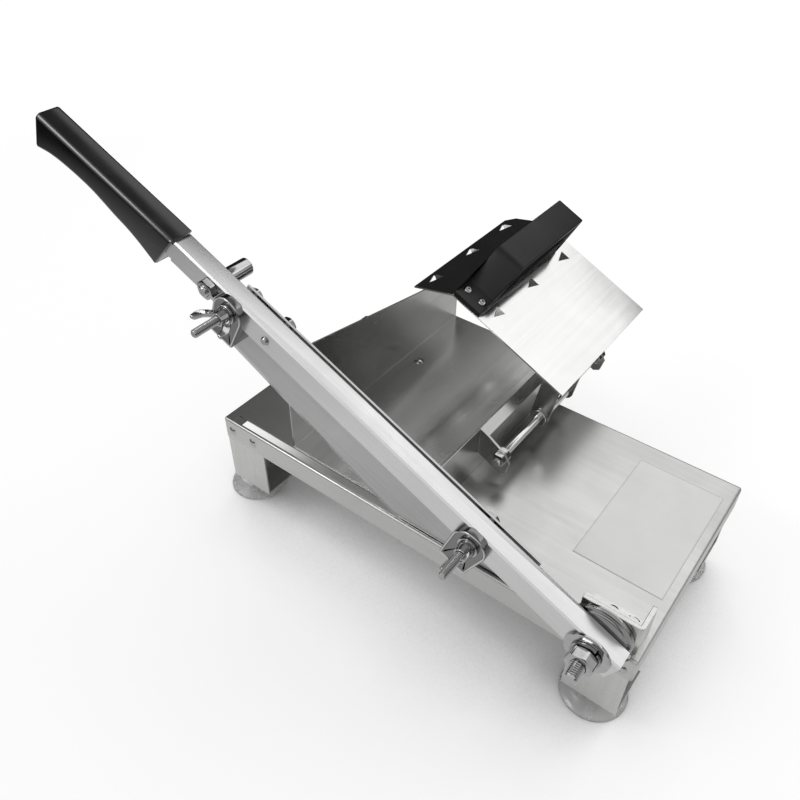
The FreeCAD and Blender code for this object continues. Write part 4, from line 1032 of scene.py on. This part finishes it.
def make_floor():
    """A pale floor that the camera sees as white, but for the object's shadow."""
    mesh = bmesh.new()
    bmesh.ops.create_grid(mesh, x_segments=1, y_segments=1, size=9)
    data = bpy.data.meshes.new("floor")
    mesh.to_mesh(data)
    mesh.free()
    material = bpy.data.materials.new("pale floor")
    material.use_nodes = True
    tree = material.node_tree
    tree.nodes.clear()
    paint = add(tree, "ShaderNodeBsdfDiffuse", {"Color": (0.45, 0.45, 0.45, 1)})
    glow = add(tree, "ShaderNodeEmission", {"Color": (1, 1, 1, 1)})
    seen = is_seen(tree, ["Camera", "Glossy", "Transmission"])
    # The glow fades where the object stands close over the floor, so the shadow stays.
    nearness = add(tree, "ShaderNodeAmbientOcclusion", {"Distance": 0.15}, samples=8)
    free = spread(tree, nearness.outputs["AO"], 0.38, 0.76, 0.05, 0.62)
    # Far out, where the lamps give less light, it grows until the floor meets the white behind.
    place = add(tree, "ShaderNodeTexCoord")
    reach = add(tree, "ShaderNodeVectorMath", operation="LENGTH")
    link(tree, place.outputs["Object"], reach.inputs[0])
    distant = spread(tree, reach.outputs["Value"], 0.8, 2.5, 0, 0.2)
    shine = arithmetic(tree, "ADD", free, distant)
    link(tree, arithmetic(tree, "MULTIPLY", seen, shine), glow.inputs["Strength"])
    table = add(tree, "ShaderNodeAddShader")
    link(tree, paint.outputs[0], table.inputs[0])
    link(tree, glow.outputs[0], table.inputs[1])
    # The polished metal sees the table end in a dim room.
    beyond = spread(tree, reach.outputs["Value"], 0.25, 1.00, 0.12, 1)
    dim = arithmetic(tree, "MULTIPLY", beyond, is_seen(tree, ["Glossy"]))
    room = add(tree, "ShaderNodeEmission", {"Color": (0.03, 0.03, 0.03, 1), "Strength": 1.0})
    both = add(tree, "ShaderNodeMixShader")
    link(tree, dim, both.inputs[0])
    link(tree, table.outputs[0], both.inputs[1])
    link(tree, room.outputs[0], both.inputs[2])
    end = add(tree, "ShaderNodeOutputMaterial")
    link(tree, both.outputs[0], end.inputs["Surface"])
    data.materials.append(material)
    floor = bpy.data.objects.new("floor", data)
    bpy.context.scene.collection.objects.link(floor)


def make_world():
    """White to the eye, plain light on the object, and a dim room mirrored by the metal."""
    world = bpy.data.worlds.new("studio")
    bpy.context.scene.world = world
    world.use_nodes = True
    tree = world.node_tree
    back = tree.nodes["Background"]
    back.inputs["Color"].default_value = (1, 1, 1, 1)
    place = add(tree, "ShaderNodeTexCoord")
    parts = add(tree, "ShaderNodeSeparateXYZ")
    link(tree, place.outputs["Generated"], parts.inputs[0])
    # The room is brighter overhead, in front and at the right.
    above = spread(tree, parts.outputs["Z"], 0.70, 0.95, 0.018, 0.35)
    ahead = spread(tree, parts.outputs["Y"], -0.05, -0.40, 0.0, 0.95)
    lifted = spread(tree, parts.outputs["Z"], 0.02, 0.2, 0, 1)
    window = arithmetic(tree, "MULTIPLY", ahead, lifted)
    beside = spread(tree, parts.outputs["X"], 0.45, 0.80, 0.0, 0.7)
    shown = arithmetic(tree, "MAXIMUM", arithmetic(tree, "MAXIMUM", above, window), beside)
    seen = is_seen(tree, ["Camera", "Transmission"])
    mirrored = arithmetic(tree, "MULTIPLY", is_seen(tree, ["Glossy"]), shown)
    plain = arithmetic(tree, "MULTIPLY", is_seen(tree, ["Diffuse"]), 0.55)
    total = arithmetic(tree, "ADD", arithmetic(tree, "ADD", seen, mirrored), plain)
    link(tree, total, back.inputs["Strength"])


def lamp(name, place, aim, along, size, brightness):
    """A soft lamp with a long side along the given direction, and its face's brightness."""
    data = bpy.data.lights.new(name, "AREA")
    data.shape = "RECTANGLE"
    data.size, data.size_y = size
    data.energy = brightness * math.pi * size[0] * size[1]
    made = bpy.data.objects.new(name, data)
    bpy.context.scene.collection.objects.link(made)
    out = (Vector(place) - Vector(aim)).normalized()
    right = (Vector(along) - out * Vector(along).dot(out)).normalized()
    made.matrix_world = Matrix.Translation(place) @ axes(right, out.cross(right), out)
    return made


def make_lamps():
    lamp("top_lamp", place=(0.52, 1.32, 1.42), aim=(0.52, 1.32, 0.0), along=(1, 0, 0),
         size=(2.6, 1.5), brightness=1.4)
    lamp("front_lamp", place=(-0.80, -1.1, 1.27), aim=(-0.2, -0.13, 0.27),
         along=(-0.911, 0, 0.413), size=(0.68, 0.26), brightness=9.0)


def make_camera():
    """The camera of the photograph."""
    data = bpy.data.cameras.new("camera")
    data.sensor_width = 36
    data.lens = 35.478
    made = bpy.data.objects.new("camera", data)
    bpy.context.scene.collection.objects.link(made)
    place = (0.2747, -0.3907, 0.5018)
    right = (0.7943, 0.6075, 0.0077)
    up = (-0.4053, 0.5205, 0.7515)
    back = (0.4525, -0.6001, 0.6596)
    made.matrix_world = Matrix.Translation(place) @ axes(right, up, back)
    bpy.context.scene.camera = made


def build():
    make_camera()
    dress_solids()
    make_cups()
    make_cup_fixings()
    make_hinge()
    make_bracket_fixings()
    make_stop()
    make_blade_bolts()
    make_clamps()
    make_wing_nuts()
    make_grip()
    make_rod_nuts()
    make_pusher_handle()
    make_floor()
    make_world()
    make_lamps()
    bpy.context.scene.view_settings.view_transform = "Standard"


build()
